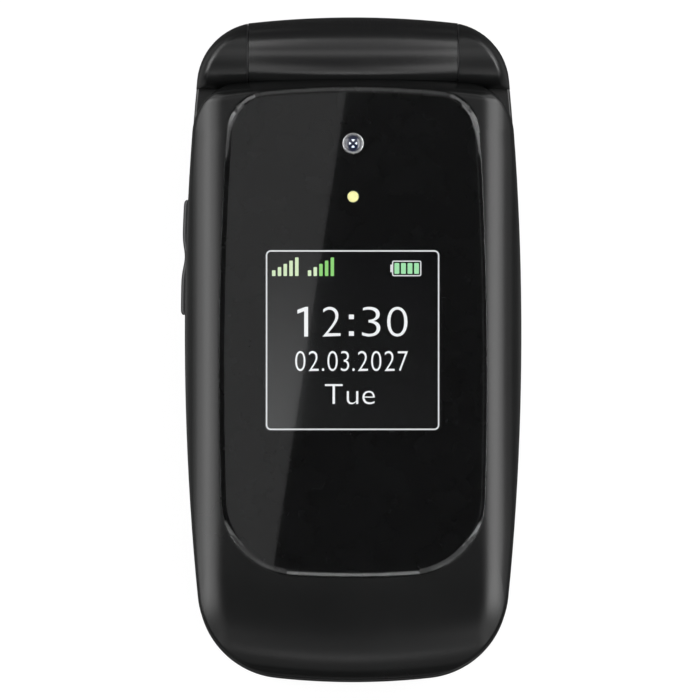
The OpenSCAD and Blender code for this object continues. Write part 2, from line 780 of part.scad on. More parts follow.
// The channel for it in the base: a round chamber beside the bush, with a slot down to the board
module base_flex_channel() {
    x0 = base_flex_x[0] - 0.25;
    x1 = -knuckle_x - bush_l + fit_gap;
    hinge_rod(base_flex_r + 0.3, x0, x1);
    block([x0, hinge_y - base_flex_r - 0.3, tail_z - 0.1], [x1, hinge_y, hinge_z]);
    block([x0, base_end_wall_y - 4.5, tail_z - 0.1], [x1, hinge_y, tail_z + 0.5]);
}

// ---- Base ----
// The back of the base curves up to the hinge on a large arc, which touches the knuckle at stop_angle
stop_angle = -38;
rear_k = (hinge_z - knuckle_r) / (1 - sin(-stop_angle));
rear_r = knuckle_r + rear_k;
rear_c = [hinge_y - rear_k * cos(stop_angle), hinge_z + rear_k * sin(-stop_angle)];
rear_steps = 8;

// Everything behind that arc, as a cutter across the whole phone
module behind_the_back() {
    a1 = stop_angle;
    arc_points = [for (i = [0:rear_steps]) let (a = -90 + (a1 + 90) * i / rear_steps)
        rear_c + rear_r * [cos(a), sin(a)]];
    inner_r = knuckle_r - 0.5;
    translate([-body_w, 0, 0]) rotate([90, 0, 90]) linear_extrude(2 * body_w) polygon(concat(
        arc_points,
        [[hinge_y + inner_r * cos(a1), hinge_z + inner_r * sin(a1)],
         [hinge_y + inner_r, hinge_z], [hinge_y + inner_r, hinge_z + 20],
         [hinge_y + 40, hinge_z + 20], [hinge_y + 40, -5], [rear_c[0], -5]]
    ));
}

knuckle_roll = [6.5, 2.0];   // how far the knuckles roll in at the sides and at the hinge end
knuckle_roll_z = hinge_z - 1.0;
knuckle_h = hinge_z + knuckle_r + 0.05 - knuckle_roll_z;

// The two knuckles: the base's own outline, rolled in at the top, inside a cylinder round the hinge axis
module knuckles() {
    side = knuckle_roll[0];
    flat = [base_rim[0] - side, base_rim[1], base_rim[2] - side, base_rim[3] - knuckle_roll[1],
            base_rim[4], base_rim[5] - 1, base_rim[6] + side, base_rim[7], base_rim[8]];
    difference() {
        intersection() {
            loft(concat([ring(base_rim, front_z)],
                        roll(base_rim, flat, knuckle_roll_z, knuckle_h, roll_steps)));
            hinge_rod(knuckle_r, -body_w, body_w);
        }
        wide_block(2 * knuckle_x, hinge_y - 20, hinge_y + 20, -over, 40);
    }
}

// Room for the barrel between the knuckles
module barrel_pocket() {
    lip_y = hinge_y - 0.9;
    barrel_space(knuckle_x, swing_gap + fit_gap);
    wide_block(2 * knuckle_x, lip_y, hinge_y + 20, -over, 40);
}

base_boss_places = [
    for (s = [1, -1])
        for (p = [[body_w / 2 - free_corner_r - 0.3, free_y + 4.4], [body_w / 2 - 4.9, cover_end_y - 2.5]])
            [s * p[0], p[1]]
];
base_boss_r = 1.5;
usb_w = 7.6;
usb_h = 2.6;
usb_z = board_z + 0.3;
mic_x = -(base_boss_places[0][0] - 3.4);
mic_y = free_y + 4.6;

module base_front_housing() {
    edge = 0.4;
    inner = with_top(inset(base_rim, wall), base_end_wall_y, cavity_corner_r);
    color(shell_black) difference() {
        union() {
            difference() {
                union() {
                    loft([
                        ring(inner, plate_z),
                        ring(inner, front_z),
                        ring(base_rim, front_z),
                        ring(base_rim, base_h - edge),
                        ring(inset(base_rim, edge * 0.3), base_h - edge * 0.3),
                        ring(inset(base_rim, edge), base_h)
                    ]);
                    for (p = base_boss_places) {
                        translate([p[0], p[1], frame_top_z + 0.1])
                            cylinder(r = base_boss_r, h = plate_z - frame_top_z, $fn = 32);
                    }
                }
                behind_the_back();
                key_openings();
                rocker_slot();
                usb_opening();
                jack_opening();
                translate([mic_x, mic_y, plate_z - over])
                    cylinder(r = 0.5, h = plate_t + 2 * over, $fn = 24);
            }
            knuckles();
        }
        barrel_pocket();
        head_shape(head_key_r + fit_gap, head_flat + fit_gap, knuckle_x - over, knuckle_x + head_l);
        hinge_rod(bush_r + 0.02, -knuckle_x - bush_l - fit_gap, -knuckle_x + over);
        base_flex_channel();
        for (p = base_boss_places) {
            translate([p[0], p[1], front_z]) cylinder(r = screw_r, h = plate_z - front_z - 0.5, $fn = 24);
        }
    }
}

// The back of the base, from the battery cover to the hinge, as a solid with the rolled edge
module rear_block() {
    difference() {
        intersection() {
            loft(concat(back_rings(base_rim, back_flat, 0), [ring(base_rim, cover_h)]));
            wide_block(body_w + 2, cover_end_y + free_gap, body_l, -over, cover_h + over);
        }
        behind_the_back();
    }
}

rim_h = 0.25;            // height of the straight side above the rolled edge of the back

// Rings of the back's rolled edge, from the flat back up
function back_rings(rim, flat, z) =
    [for (i = [roll_steps:-1:1]) let (a = 90 * i / roll_steps)
        ring(mix(rim, flat, 1 - cos(a)), z + (cover_h - rim_h - z) * (1 - sin(a)))];

bay_wall = 0.9;
bay_w = battery_w + 2 * bay_gap;
bay_y = [battery_top_y - battery_l - bay_gap, battery_top_y + bay_gap];
card_size = [12, 14];
card_y = bay_y[0] - bay_wall - card_size[1] / 2 - 1.3;
speaker_place = [-11.5, cover_end_y + 5.4];
speaker_size = [15, 9];
motor_place = [2.8, cover_end_y + 5.4];
motor_r = 4;

module base_rear_housing() {
    frame = inset(base_rim, wall + free_gap);
    color(shell_black) difference() {
        union() {
            outline_plate(with_top(frame, base_end_wall_y - 0.2, cavity_corner_r), cover_h, frame_top_z);
            rear_block();
            translate([0, (bay_y[0] + bay_y[1]) / 2, 0])
                wide_block(bay_w + 2 * bay_wall, -(bay_y[1] - bay_y[0]) / 2 - bay_wall,
                           (bay_y[1] - bay_y[0]) / 2 + bay_wall, battery_z() + 0.2, front_z + 0.5);
        }
        // the battery's bay, and the slot for its contacts
        block([-bay_w / 2, bay_y[0], -over], [bay_w / 2, bay_y[1], bay_floor_z]);
        block([-6.3, bay_y[1] - over, battery_z() + 0.9], [6.3, bay_y[1] + 2.4, bay_floor_z]);
        // the loudspeaker's and the motor's seats, open towards the board
        translate([speaker_place[0], speaker_place[1], 0])
            rounded_plate(speaker_size[0] + 0.3, speaker_size[1] + 0.3, 1, 1.2, frame_top_z + over, 2);
        translate([motor_place[0], motor_place[1], 1.3]) cylinder(r = motor_r + 0.15, h = 10, $fn = 48);
        speaker_grille();
        usb_opening();
        jack_seat(jack_z - jack_body_r - fit_gap);
        rocker_room();
        barrel_pocket();
        for (p = base_boss_places) {
            translate([p[0], p[1], -over]) cylinder(r = screw_r + 0.15, h = 12, $fn = 24);
            translate([p[0], p[1], -over])
                cylinder(r = screw_head_r + fit_gap, h = screw_head_z + screw_head_t + over, $fn = 24);
        }
    }
}

// Slots over the loudspeaker
module speaker_grille() {
    slots = 5;
    pitch = 1.7;
    for (i = [0:slots - 1]) {
        translate([speaker_place[0], speaker_place[1] + (i - (slots - 1) / 2) * pitch, 0])
            rounded_plate(9, 0.8, 0.39, -over, 1.2 + over, 3);
    }
}

screw_head_r = 1.5;
screw_head_t = 0.7;
screw_head_z = cover_h + 0.1;

module base_screws() {
    color(steel) for (p = base_boss_places) translate([p[0], p[1], 0]) {
        translate([0, 0, screw_head_z]) difference() {
            cylinder(r = screw_head_r, h = screw_head_t, $fn = 24);
            cross_recess(0.3);
        }
        translate([0, 0, screw_head_z + screw_head_t - 0.1])
            cylinder(r = screw_r - 0.02, h = 3.4, $fn = 24);
    }
}

module battery_cover() {
    inner_rim = inset(base_rim, cover_wall);
    side_z = cover_h - rim_h;
    notch_r = 9;
    color(shell_black) difference() {
        intersection() {
            loft(concat(
                back_rings(base_rim, back_flat, 0),
                [ring(base_rim, side_z), ring(base_rim, cover_h), ring(inner_rim, cover_h)],
                [for (i = [0:inner_roll_steps]) let (a = 90 * i / inner_roll_steps)
                    ring(mix(inner_rim, back_flat, 1 - cos(a)), side_z - (side_z - cover_wall) * sin(a))]
            ));
            wide_block(body_w + 2, -body_l, cover_end_y, -over, cover_h + over);
        }
        // a notch for the fingernail that lifts the cover off
        translate([0, free_y - notch_r + 1.1, cover_h - 0.9]) cylinder(r = notch_r, h = 2, $fn = 64);
    }
}

contact_pitch = 3.2;

module battery() {
    y0 = battery_top_y - battery_l;
    z0 = battery_z();
    color([0.25, 0.26, 0.28]) difference() {
        translate([0, (y0 + battery_top_y) / 2, 0])
            rounded_plate(battery_w, battery_l, 1.2, z0, z0 + battery_t, 3);
        for (i = [-1:1]) translate([i * contact_pitch, battery_top_y, z0]) {
            block([-0.9, -0.3, 1.4], [0.9, over, 3.6]);
        }
    }
}

module battery_contacts() {
    translate([0, battery_top_y, 0]) {
        color("goldenrod") for (i = [-1:1]) translate([i * contact_pitch, 0, battery_z()]) {
            block([-0.6, -0.1, 1.8], [0.6, bay_gap + 0.7, 3.2]);
        }
        color([0.1, 0.1, 0.1]) block([-6, bay_gap + 0.5, battery_z() + 1.2],
                                     [6, bay_gap + 2.2, bay_floor_z - 0.1]);
    }
}

board_rim = with_top(inset(base_rim, wall + 1.3), base_end_wall_y - 0.5, cavity_corner_r - 1);
board_cut_w = body_w - 10.6;

// The main board, with the microphone, the lid sensor and the two side switches soldered on
module main_board() {
    color(board_green) difference() {
        outline_plate(board_rim, board_z, board_top_z);
        for (s = [-1, 1]) translate([s * (board_cut_w / 2 + 10), 0, 0]) {
            wide_block(20, -body_l, body_l, board_z - over, board_top_z + over);
        }
        wide_block(usb_w + 0.6, free_y - over, free_y + 7.2, board_z - over, board_top_z + over);
        jack_seat(board_z - over);
        for (p = base_boss_places) {
            translate([p[0], p[1], board_z - over])
                cylinder(r = base_boss_r + free_gap, h = board_t + 2 * over, $fn = 32);
        }
    }
    color("silver") {
        translate([mic_x, mic_y + 0.6, 0]) rounded_plate(3, 2.6, 0.3, board_top_z, board_top_z + 0.9, 1);
        translate([magnet_x, free_y + 5.6, 0])
            rounded_plate(1.6, 2.6, 0.2, board_top_z, board_top_z + 0.8, 1);
    }
    // each side switch on its own tab of the board
    for (s = [-1, 1]) translate([0, rocker_y + s * rocker_l * 0.25, 0]) {
        color(board_green)
            block([-switch_x + 1.2, -2.2, board_z], [-board_cut_w / 2 + 0.1, 2.2, board_top_z]);
        color("dimgray") block([-switch_x, -1.8, board_z], [-switch_x + 1.3, 1.8, board_top_z + 0.8]);
    }
}

// Two shield cans on the board, above the keypad
module shield_cans() {
    y0 = nav_y + ring_r + 2.2;
    y1 = base_end_wall_y - 1.4;
    color(steel) {
        block([-17, y0, board_top_z], [-1, y1, board_top_z + 1.1]);
        block([0.6, y0, board_top_z], [17, jack_y - jack_body_r - 0.8, board_top_z + 1.1]);
    }
}

// Two holders for SIM cards and one for a memory card, open towards the battery
module card_holders() {
    w = card_size[0];
    l = card_size[1];
    color(steel) for (i = [-1:1]) translate([i * (w + 0.5), card_y, 0]) difference() {
        rounded_plate(w, l, 0.6, cover_h - 1.4, cover_h, 2);
        translate([0, 0.6, 0]) rounded_plate(w - 1, l, 0.4, cover_h - 1.0, cover_h - 0.25, 2);
        translate([0, 2, 0]) rounded_plate(w - 5, l - 5, 0.8, cover_h - 2, cover_h - 0.8, 2);
    }
}

// ---- Keypad ----
key_cols = [-key_pitch_x, 0, key_pitch_x];
key_rows = [for (i = [0:3]) free_y + key_row_in + (3 - i) * key_pitch_y];
nav_y = key_rows[0] + key_l / 2 + 1.8 + side_key_l + 1.8 + 0.4 + key_flange;
side_key_x = ring_r + 1.6 + side_key_w / 2;
side_key_dy = side_key_l / 2 + 0.9 + key_flange / 2;

// Every key that slides: [name, x, y, width, length]
number_keys = [
    for (r = [0:3], c = [0:2])
        [["key_1", "key_2", "key_3", "key_4", "key_5", "key_6", "key_7", "key_8", "key_9",
          "key_star", "key_0", "key_hash"][3 * r + c], key_cols[c], key_rows[r], key_w, key_l]
];
side_keys = [
    ["key_soft_left", -side_key_x, nav_y + side_key_dy, side_key_w, side_key_l],
    ["key_soft_right", side_key_x, nav_y + side_key_dy, side_key_w, side_key_l],
    ["key_call", -side_key_x, nav_y - side_key_dy, side_key_w, side_key_l],
    ["key_end", side_key_x, nav_y - side_key_dy, side_key_w, side_key_l]
];
pressed_keys = concat(number_keys, side_keys);
key_corner_r = 2.2;

module key_cap(k) {
    w = k[3];
    l = k[4];
    z = key_top_z;
    color(key_black) translate([k[1], k[2], 0]) {
        loft([for (s = [[0, key_foot_z], [0, z - 0.35], [0.12, z - 0.14], [0.45, z]])
            rounded_ring(w, l, key_corner_r, s[0], s[1])]);
        rounded_plate(w + 2 * key_flange, l + 2 * key_flange, key_corner_r,
                      key_foot_z, key_foot_z + key_flange_t - fit_gap);
    }
}

module key_openings() {
    for (k = pressed_keys) translate([k[1], k[2], 0]) {
        rounded_plate(k[3] + 2 * key_gap, k[4] + 2 * key_gap, key_corner_r, plate_z - over, base_h + over);
    }
    translate([0, nav_y, plate_z - over])
        cylinder(r = ring_r + key_gap + 0.1, h = plate_t + 2 * over, $fn = 96);
}

ring_bore_r = ok_r + 0.35;
web_t = 0.3;

// The web under the ring carries the up and down tilt, the ring itself the tilt to the sides
module nav_web() {
    color([0.3, 0.3, 0.3]) translate([0, nav_y, key_foot_z]) difference() {
        cylinder(r = ring_r - 2, h = web_t, $fn = 72);
        translate([0, 0, -over]) cylinder(r = ring_bore_r + 0.3, h = web_t + 2 * over, $fn = 48);
    }
}

module nav_ring() {
    z0 = key_foot_z + web_t + 0.28;
    crest = key_top_z;
    color(key_black) translate([0, nav_y, 0]) rotate_extrude($fn = 96) polygon([
        [ring_bore_r, z0], [ring_r - 0.3, z0], [ring_r, z0 + 0.25], [ring_r, crest - 0.5],
        [ring_r - 0.15, crest - 0.2], [ring_r - 0.5, crest - 0.03], [ring_r - 1, crest],
        [ring_bore_r + 0.9, crest - 0.05], [ring_bore_r + 0.3, crest - 0.16], [ring_bore_r, crest - 0.4]
    ]);
}

module key_ok() {
    z = key_top_z;
    color(key_black) translate([0, nav_y, 0]) rotate_extrude($fn = 72) polygon([
        [0, key_foot_z], [ok_r, key_foot_z], [ok_r, z - 0.35], [ok_r - 0.12, z - 0.12],
        [ok_r - 0.4, z - 0.01], [ok_r - 0.9, z + 0.02], [0, z - 0.06]
    ]);
}

module dome(r) {
    cylinder(r1 = r, r2 = r * 0.7, h = 0.16, $fn = 24);
}

module keypad_domes() {
    color("goldenrod") {
        for (k = pressed_keys) translate([k[1], k[2], board_top_z]) dome(2.2);
        translate([0, nav_y, board_top_z]) {
            dome(2.2);
            for (a = [0:90:270]) rotate([0, 0, a]) translate([ring_r - 3, 0, 0]) dome(1.4);
        }
    }
}

module keypad_membrane() {
    y0 = key_rows[3] - key_l / 2 - 0.6;
    y1 = nav_y + ring_r + 0.4;
    color([0.82, 0.82, 0.8]) translate([0, (y0 + y1) / 2, 0]) {
        rounded_plate(2 * side_key_x + side_key_w - 0.4, y1 - y0, 6, membrane_z, membrane_z + membrane_t);
    }
}

// ---- Side rocker ----
rocker_x = side_x(base_rim, rocker_y);
rocker_z = (front_z + plate_z) / 2 + 0.35;
rocker_gap = 0.15;
rocker_flange = 0.7;
rocker_back = side_x(base_rim, rocker_y + rocker_l / 2 + rocker_flange) - wall - 0.85;
switch_x = rocker_back - 0.4;
rocker_steps = 8;

// Outer contour of the rocker: a long bump at each end and a dip between them
function rocker_face(y) =
    let (u = (y - rocker_y) / (rocker_l / 2), side = side_x(base_rim, y))
    side + rocker_proud - rocker_dip * exp(-u * u * 18) - 0.35 * pow(abs(u), 14);

module volume_rocker() {
    ys = [for (i = [-rocker_steps:rocker_steps]) rocker_y + (rocker_l / 2) * sin(90 * i / rocker_steps)];
    color(key_black) {
        translate([0, 0, rocker_z - rocker_h / 2]) linear_extrude(rocker_h) polygon(concat(
            [for (y = ys) [-rocker_face(y), y]],
            [[-rocker_back, rocker_y + rocker_l / 2], [-rocker_back, rocker_y - rocker_l / 2]]
        ));
        translate([0, rocker_y, rocker_z])
            block([-rocker_back - 0.4, -rocker_l / 2 - rocker_flange, -rocker_h / 2 + 0.3],
                  [-rocker_back, rocker_l / 2 + rocker_flange, rocker_h / 2 - 0.3]);
    }
}

// Room in the rear housing's frame behind the rocker
module rocker_room() {
    translate([0, rocker_y, rocker_z])
        block([-body_w, -rocker_l / 2 - rocker_flange - 0.3, -rocker_h / 2 - 0.15],
              [-switch_x + 0.15, rocker_l / 2 + rocker_flange + 0.3, rocker_h]);
}

module rocker_slot() {
    translate([-rocker_x, rocker_y, rocker_z])
        cube([2 * wall + 1.2, rocker_l + 2 * rocker_gap, rocker_h + 2 * rocker_gap], center = true);
}

// ---- Sockets ----
module usb_opening() {
    gap = 0.15;
    wide_block(usb_w + 2 * gap, free_y - over, free_y + 7.2,
               usb_z - usb_h / 2 - gap, usb_z + usb_h / 2 + gap);
}

module usb_port() {
    y0 = free_y + 0.7;
    y1 = y0 + 5.8;
    color(steel) difference() {
        wide_block(usb_w, y0, y1, usb_z - usb_h / 2, usb_z + usb_h / 2);
        wide_block(usb_w - 0.6, y0 - over, y1 - 0.5, usb_z - usb_h / 2 + 0.3, usb_z + usb_h / 2 - 0.3);
    }
    color([0.1, 0.1, 0.1]) wide_block(4.2, y0 + 0.8, y1 - 0.3, usb_z - 0.35, usb_z + 0.35);
}

jack_body_r = jack_bore_r + 0.5;
jack_x = side_x(base_rim, jack_y + jack_body_r) - wall - free_gap;
jack_z = plate_z - 0.15 - jack_body_r;

// Room for the audio socket, open to the front
module jack_seat(z) {
    gap = 0.15;
    block([jack_x - jack_depth - 0.6 - gap, jack_y - jack_body_r - gap, z],
          [jack_x + wall, jack_y + jack_body_r + gap, plate_z]);
}

module jack_opening() {
    translate([jack_x - 0.5, jack_y, jack_z]) rotate([0, 90, 0])
        cylinder(r = jack_bore_r + 0.1, h = 2 * wall + 1, $fn = 48);
}

module audio_jack() {
    back = 0.6;
    color([0.12, 0.12, 0.12]) translate([jack_x - jack_depth - back, jack_y, jack_z])
        rotate([0, 90, 0]) difference() {
            cylinder(r = jack_body_r, h = jack_depth + back, $fn = 48);
            translate([0, 0, back]) cylinder(r = jack_bore_r, h = jack_depth + over, $fn = 48);
        }
}

module loudspeaker() {
    color([0.15, 0.15, 0.15]) translate([speaker_place[0], speaker_place[1], 0]) {
        rounded_plate(speaker_size[0], speaker_size[1], 1, 1.3, frame_top_z - 0.2, 2);
    }
}

module vibration_motor() {
    color(steel) translate([motor_place[0], motor_place[1], 1.35]) cylinder(r = motor_r, h = 2.7, $fn = 48);
}

// The antenna: a strip on the inside of the housing's wall at the free end, on each side of the USB port
module antenna() {
    z0 = board_top_z + 0.3;
    color("goldenrod") intersection() {
        difference() {
            outline_plate(inset(base_rim, wall + 0.05), z0, z0 + 1.0);
            outline_plate(inset(base_rim, wall + 0.35), z0 - over, z0 + 2);
            wide_block(usb_w + 1, free_y - over, free_y + 8, z0 - over, z0 + 2);
        }
        wide_block(body_w, free_y, free_y + key_row_in - key_l / 2 - key_flange - 0.4, z0, z0 + 1);
    }
}

base_front_housing();
base_rear_housing();
battery_cover();
battery();
battery_contacts();
main_board();
shield_cans();
card_holders();
keypad_domes();
keypad_membrane();
usb_port();
audio_jack();
loudspeaker();
vibration_motor();
antenna();
hinge_head();
hinge_bush();
base_flex();
base_screws();
volume_rocker();
for (k = pressed_keys) {
    key_cap(k);
}
nav_web();
nav_ring();
key_ok();
lid_outer_shell();
lid_inner_shell();
hinge_barrel_cover();
outer_window();
outer_display();
camera_ring();
camera_lens();
camera_module();
flash_lens();
lid_board();
inner_window();
main_display();
earpiece();
lid_magnet();
lid_screws();
lid_screw_caps();
lid_flex();
hinge_can();
hinge_spring();
hinge_cam();
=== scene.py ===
"""A closed clamshell phone on a pale floor, lying on its back, with the lid's face towards the camera.

Lengths are in millimetres and angles in degrees until a mesh is built; x runs across the phone,
+y towards the hinge and +z from the back to the lid's face.
"""

import math

import bpy
import numpy as np
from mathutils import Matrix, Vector


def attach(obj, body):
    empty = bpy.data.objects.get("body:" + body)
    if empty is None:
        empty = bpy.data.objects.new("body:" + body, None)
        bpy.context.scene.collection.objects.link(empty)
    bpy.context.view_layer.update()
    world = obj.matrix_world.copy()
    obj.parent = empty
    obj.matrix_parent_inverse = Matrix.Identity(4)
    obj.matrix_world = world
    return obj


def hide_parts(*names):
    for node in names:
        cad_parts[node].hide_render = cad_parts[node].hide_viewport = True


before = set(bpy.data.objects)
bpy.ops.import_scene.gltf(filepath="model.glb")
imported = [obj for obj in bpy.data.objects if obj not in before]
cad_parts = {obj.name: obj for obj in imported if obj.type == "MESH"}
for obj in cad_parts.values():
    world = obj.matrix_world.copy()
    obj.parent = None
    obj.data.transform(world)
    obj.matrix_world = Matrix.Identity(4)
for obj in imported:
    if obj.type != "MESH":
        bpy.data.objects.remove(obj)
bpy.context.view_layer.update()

MM = 0.001
scene = bpy.context.scene

# ---- Measures shared with the solid model ----
HINGE_Y, HINGE_Z = 45.9, 12.0
BARREL_R, BARREL_HALF = 6.1, 16.35
HINGE_BOW = 146.0
KNUCKLE_X = 16.55
LID_Z, LID_SEAM, LID_ROLL, LID_TOP = 10.6, 12.8, 13.8, 19.0
LID_FLOOR, LID_CEILING = 12.0, 17.0
BASE_TOP, FRONT_Z, PLATE_Z = 10.2, 4.7, 9.2
WALL, SEAM = 1.3, 0.08
CAMERA_Y, FLASH_Y, SMALL_Y = 32.2, 23.9, 1.45
SCREEN_MID = -3.0
NAV_Y = 9.2
KEY_FOOT, KEY_TOP = 8.45, 10.35

# An outline is [half width, y of the widest point, side radius,
#                top y, top radius, top corner radius, bottom y, bottom radius, bottom corner radius]
BASE_RIM = [26.3, 2.6, 410, 52, 146, 10, -52, 110, 13.6]
LID_RIM = [26.3, 2.6, 410, 42.6, 212, 8.5, -51.4, 110, 13.6]
WINDOW_RIM = [20.9, -4, 600, 40.95, 142, 6.6, -35.35, 150, 12]


# ---- Outlines and rings ----
def inset(o, d):
    return [o[0] - d, o[1], o[2] - d, o[3] - d, o[4] - d, max(o[5] - d, 0.4),
            o[6] + d, o[7] - d, max(o[8] - d, 0.4)]


def mix(a, b, t):
    return [p + (q - p) * t for p, q in zip(a, b)]


def with_top(o, y, r):
    return [*o[:3], y, o[4], r, *o[6:]]


LID_FLAT = inset(WINDOW_RIM, -0.45)
BACK_FLAT = inset(BASE_RIM, 4.6)


def corner_centre(c1, r1, c2, r2, r, side):
    """Centre of the circle of radius r that touches two larger arcs from inside."""
    a, b = r1 - r, r2 - r
    dx, dy = c2[0] - c1[0], c2[1] - c1[1]
    d = math.hypot(dx, dy)
    along = (a * a - b * b + d * d) / (2 * d)
    off = side * math.sqrt(a * a - along * along)
    return (c1[0] + (along * dx - off * dy) / d, c1[1] + (along * dy + off * dx) / d)


def direction(c1, c2):
    return math.degrees(math.atan2(c2[1] - c1[1], c2[0] - c1[0]))


def arc(c, r, a0, a1, n):
    angles = [math.radians(a0 + (a1 - a0) * i / n) for i in range(n)]
    return [(c[0] + r * math.cos(a), c[1] + r * math.sin(a)) for a in angles]


def outline(o, end=14, corner=24, side=20):
    """The points of an outline of tangent arcs, anticlockwise from the middle of its bottom."""
    cs, ct, cb = (o[0] - o[2], o[1]), (0, o[3] - o[4]), (0, o[6] + o[7])
    kt = corner_centre(cs, o[2], ct, o[4], o[5], 1)
    kb = corner_centre(cs, o[2], cb, o[7], o[8], -1)
    low, low_side = direction(cb, kb), direction(cs, kb)
    high_side, high = direction(cs, kt), direction(ct, kt)
    half = (arc(cb, o[7], -90, low, end) + arc(kb, o[8], low, low_side, corner)
            + arc(cs, o[2], low_side, high_side, side) + arc(kt, o[5], high_side, high, corner)
            + arc(ct, o[4], high, 90, end) + [(0, o[3])])
    return half + [(-x, y) for x, y in half[-2:0:-1]]


def ring(o, z):
    return [(x, y, z) for x, y in outline(o)]


def roll(rim, flat, z, h, steps=6):
    """Rings of a rolled edge, from the outline rim at height z to the outline flat at z + h."""
    angles = [math.pi / 2 * i / steps for i in range(steps + 1)]
    return [ring(mix(rim, flat, 1 - math.cos(a)), z + h * math.sin(a)) for a in angles]


def side_x(o, y):
    """Half the width of an outline at y."""
    return o[0] - o[2] + math.sqrt(o[2] ** 2 - (y - o[1]) ** 2)


def rounded(w, l, r, n=8):
    """The points of a rounded rectangle about the origin, anticlockwise."""
    points = []
    for q, (sx, sy) in enumerate([(1, 1), (-1, 1), (-1, -1), (1, -1)]):
        for i in range(n + 1):
            a = math.radians(90 * q + 90 * i / n)
            points.append((sx * (w / 2 - r) + r * math.cos(a), sy * (l / 2 - r) + r * math.sin(a)))
    return points


def spun(points, degrees, cx, cy):
    """Points turned about the origin and then moved to (cx, cy)."""
    c, s = math.cos(math.radians(degrees)), math.sin(math.radians(degrees))
    return [(cx + c * x - s * y, cy + s * x + c * y) for x, y in points]


def soft_corner(r, z, w, h, start=15, n=7):
    """The rounded corner of a turned profile, from just above (r, z) to (r - w, z + h)."""
    angles = np.radians(np.linspace(start, 90, n))
    return [(r - w * (1 - math.cos(a)), z + h * math.sin(a)) for a in angles]


def crown(x):
    """Radius of the barrel at x, so that it follows the bow of the hinge end."""
    return BARREL_R - HINGE_BOW + math.sqrt(HINGE_BOW ** 2 - x * x)


# ---- Meshes ----
def build(name, points, faces):
    mesh = bpy.data.meshes.new(name)
    mesh.from_pydata([(x * MM, y * MM, z * MM) for x, y, z in points], [], faces)
    mesh.update()
    obj = bpy.data.objects.new(name, mesh)
    scene.collection.objects.link(obj)
    return obj


def loft(name, rings):
    """A solid through rings of equally many points, closed by flat caps."""
    n, last = len(rings[0]), (len(rings) - 1) * len(rings[0])
    faces = [tuple(range(n - 1, -1, -1)), tuple(range(last, last + n))]
    for k in range(0, last, n):
        faces += [(k + i, k + (i + 1) % n, k + n + (i + 1) % n, k + n + i) for i in range(n)]
    return build(name, [p for r in rings for p in r], faces)


def prism(name, points, z0, z1):
    return loft(name, [[(x, y, z) for x, y in points] for z in (z0, z1)])


def block(name, low, high):
    (x0, y0, z0), (x1, y1, z1) = low, high
    return prism(name, [(x0, y0), (x1, y0), (x1, y1), (x0, y1)], z0, z1)


def plate(name, w, l, r, z0, z1, at=(0, 0), n=8):
    """A plate of width w and length l with corners of radius r."""
    return prism(name, [(x + at[0], y + at[1]) for x, y in rounded(w, l, r, n)], z0, z1)


def upright(cx, cy):
    """Places a turned shape on a vertical axis."""
    return lambda x, y, z: (cx + x, cy + y, z)


def across(cy, cz):
    """Places a turned shape on an axis along x, with its own x towards +y."""
    return lambda x, y, z: (z, cy + x, cz + y)


ON_HINGE = across(HINGE_Y, HINGE_Z)


def turned(name, profile, place, n=72):
    """A profile of (radius, height), anticlockwise, turned round an axis."""
    rows, points = [], []
    for r, h in profile:
        if r < 1e-9:
            rows.append([len(points)] * n)
            points.append(place(0, 0, h))
            continue
        rows.append(list(range(len(points), len(points) + n)))
        for i in range(n):
            a = 2 * math.pi * i / n
            points.append(place(r * math.cos(a), r * math.sin(a), h))
    faces = []
    for a, b in zip(rows, rows[1:] + rows[:1]):
        for i in range(n):
            face = list(dict.fromkeys((a[i], a[(i + 1) % n], b[(i + 1) % n], b[i])))
            if len(face) > 2:
                faces.append(face)
    return build(name, points, faces)


def sector(name, profile, a0, a1, n=96):
    """A profile turned about the hinge axis from the angle a0 to a1 only."""
    m, points = len(profile), []
    for i in range(n + 1):
        a = math.radians(a0 + (a1 - a0) * i / n)
        points += [ON_HINGE(r * math.cos(a), r * math.sin(a), h) for r, h in profile]
    faces = [tuple(range(m)), tuple(range(n * m + m - 1, n * m - 1, -1))]
    for k in range(0, n * m, m):
        faces += [(k + j, k + m + j, k + m + (j + 1) % m, k + (j + 1) % m) for j in range(m)]
    return build(name, points, faces)


def rod(name, r, x0, x1, place=ON_HINGE, n=96):
    return turned(name, [(0, x0), (r, x0), (r, x1), (0, x1)], place, n)


def post(name, r, cx, cy, z0, z1, n=48):
    return turned(name, [(0, z0), (r, z0), (r, z1), (0, z1)], upright(cx, cy), n)


def barrel_space(half, gap, n=24):
    """The space of the barrel, with a gap round it."""
    xs = [half * (2 * i / n - 1) for i in range(n + 1)]
    return turned("space", [(0, -half)] + [(crown(x) + gap, x) for x in xs] + [(0, half)], ON_HINGE, 144)


def combine(obj, operation, tools):
    """Joins, cuts or crosses obj with each of the tools, which are used up."""
    for tool in tools:
        modifier = obj.modifiers.new("solid", "BOOLEAN")
        modifier.operation, modifier.solver, modifier.object = operation, "MANIFOLD", tool
    graph = bpy.context.evaluated_depsgraph_get()
    mesh = bpy.data.meshes.new_from_object(obj.evaluated_get(graph))
    if not mesh.polygons:
        raise RuntimeError(f"{obj.name} is empty after {operation}")
    obj.modifiers.clear()
    obj.data = mesh
    mesh.name = obj.name
    for tool in tools:
        bpy.data.objects.remove(tool)
    return obj


def cut(obj, *tools):
    return combine(obj, "DIFFERENCE", tools)


def join(obj, *tools):
    return combine(obj, "UNION", tools)


def within(obj, *tools):
    return combine(obj, "INTERSECT", tools)


def merged(name, parts):
    """Several separate shapes as one piece."""
    points, faces = [], []
    for part in parts:
        start = len(points)
        points += [tuple(v.co / MM) for v in part.data.vertices]
        faces += [tuple(start + i for i in f.vertices) for f in part.data.polygons]
        bpy.data.objects.remove(part)
    return build(name, points, faces)


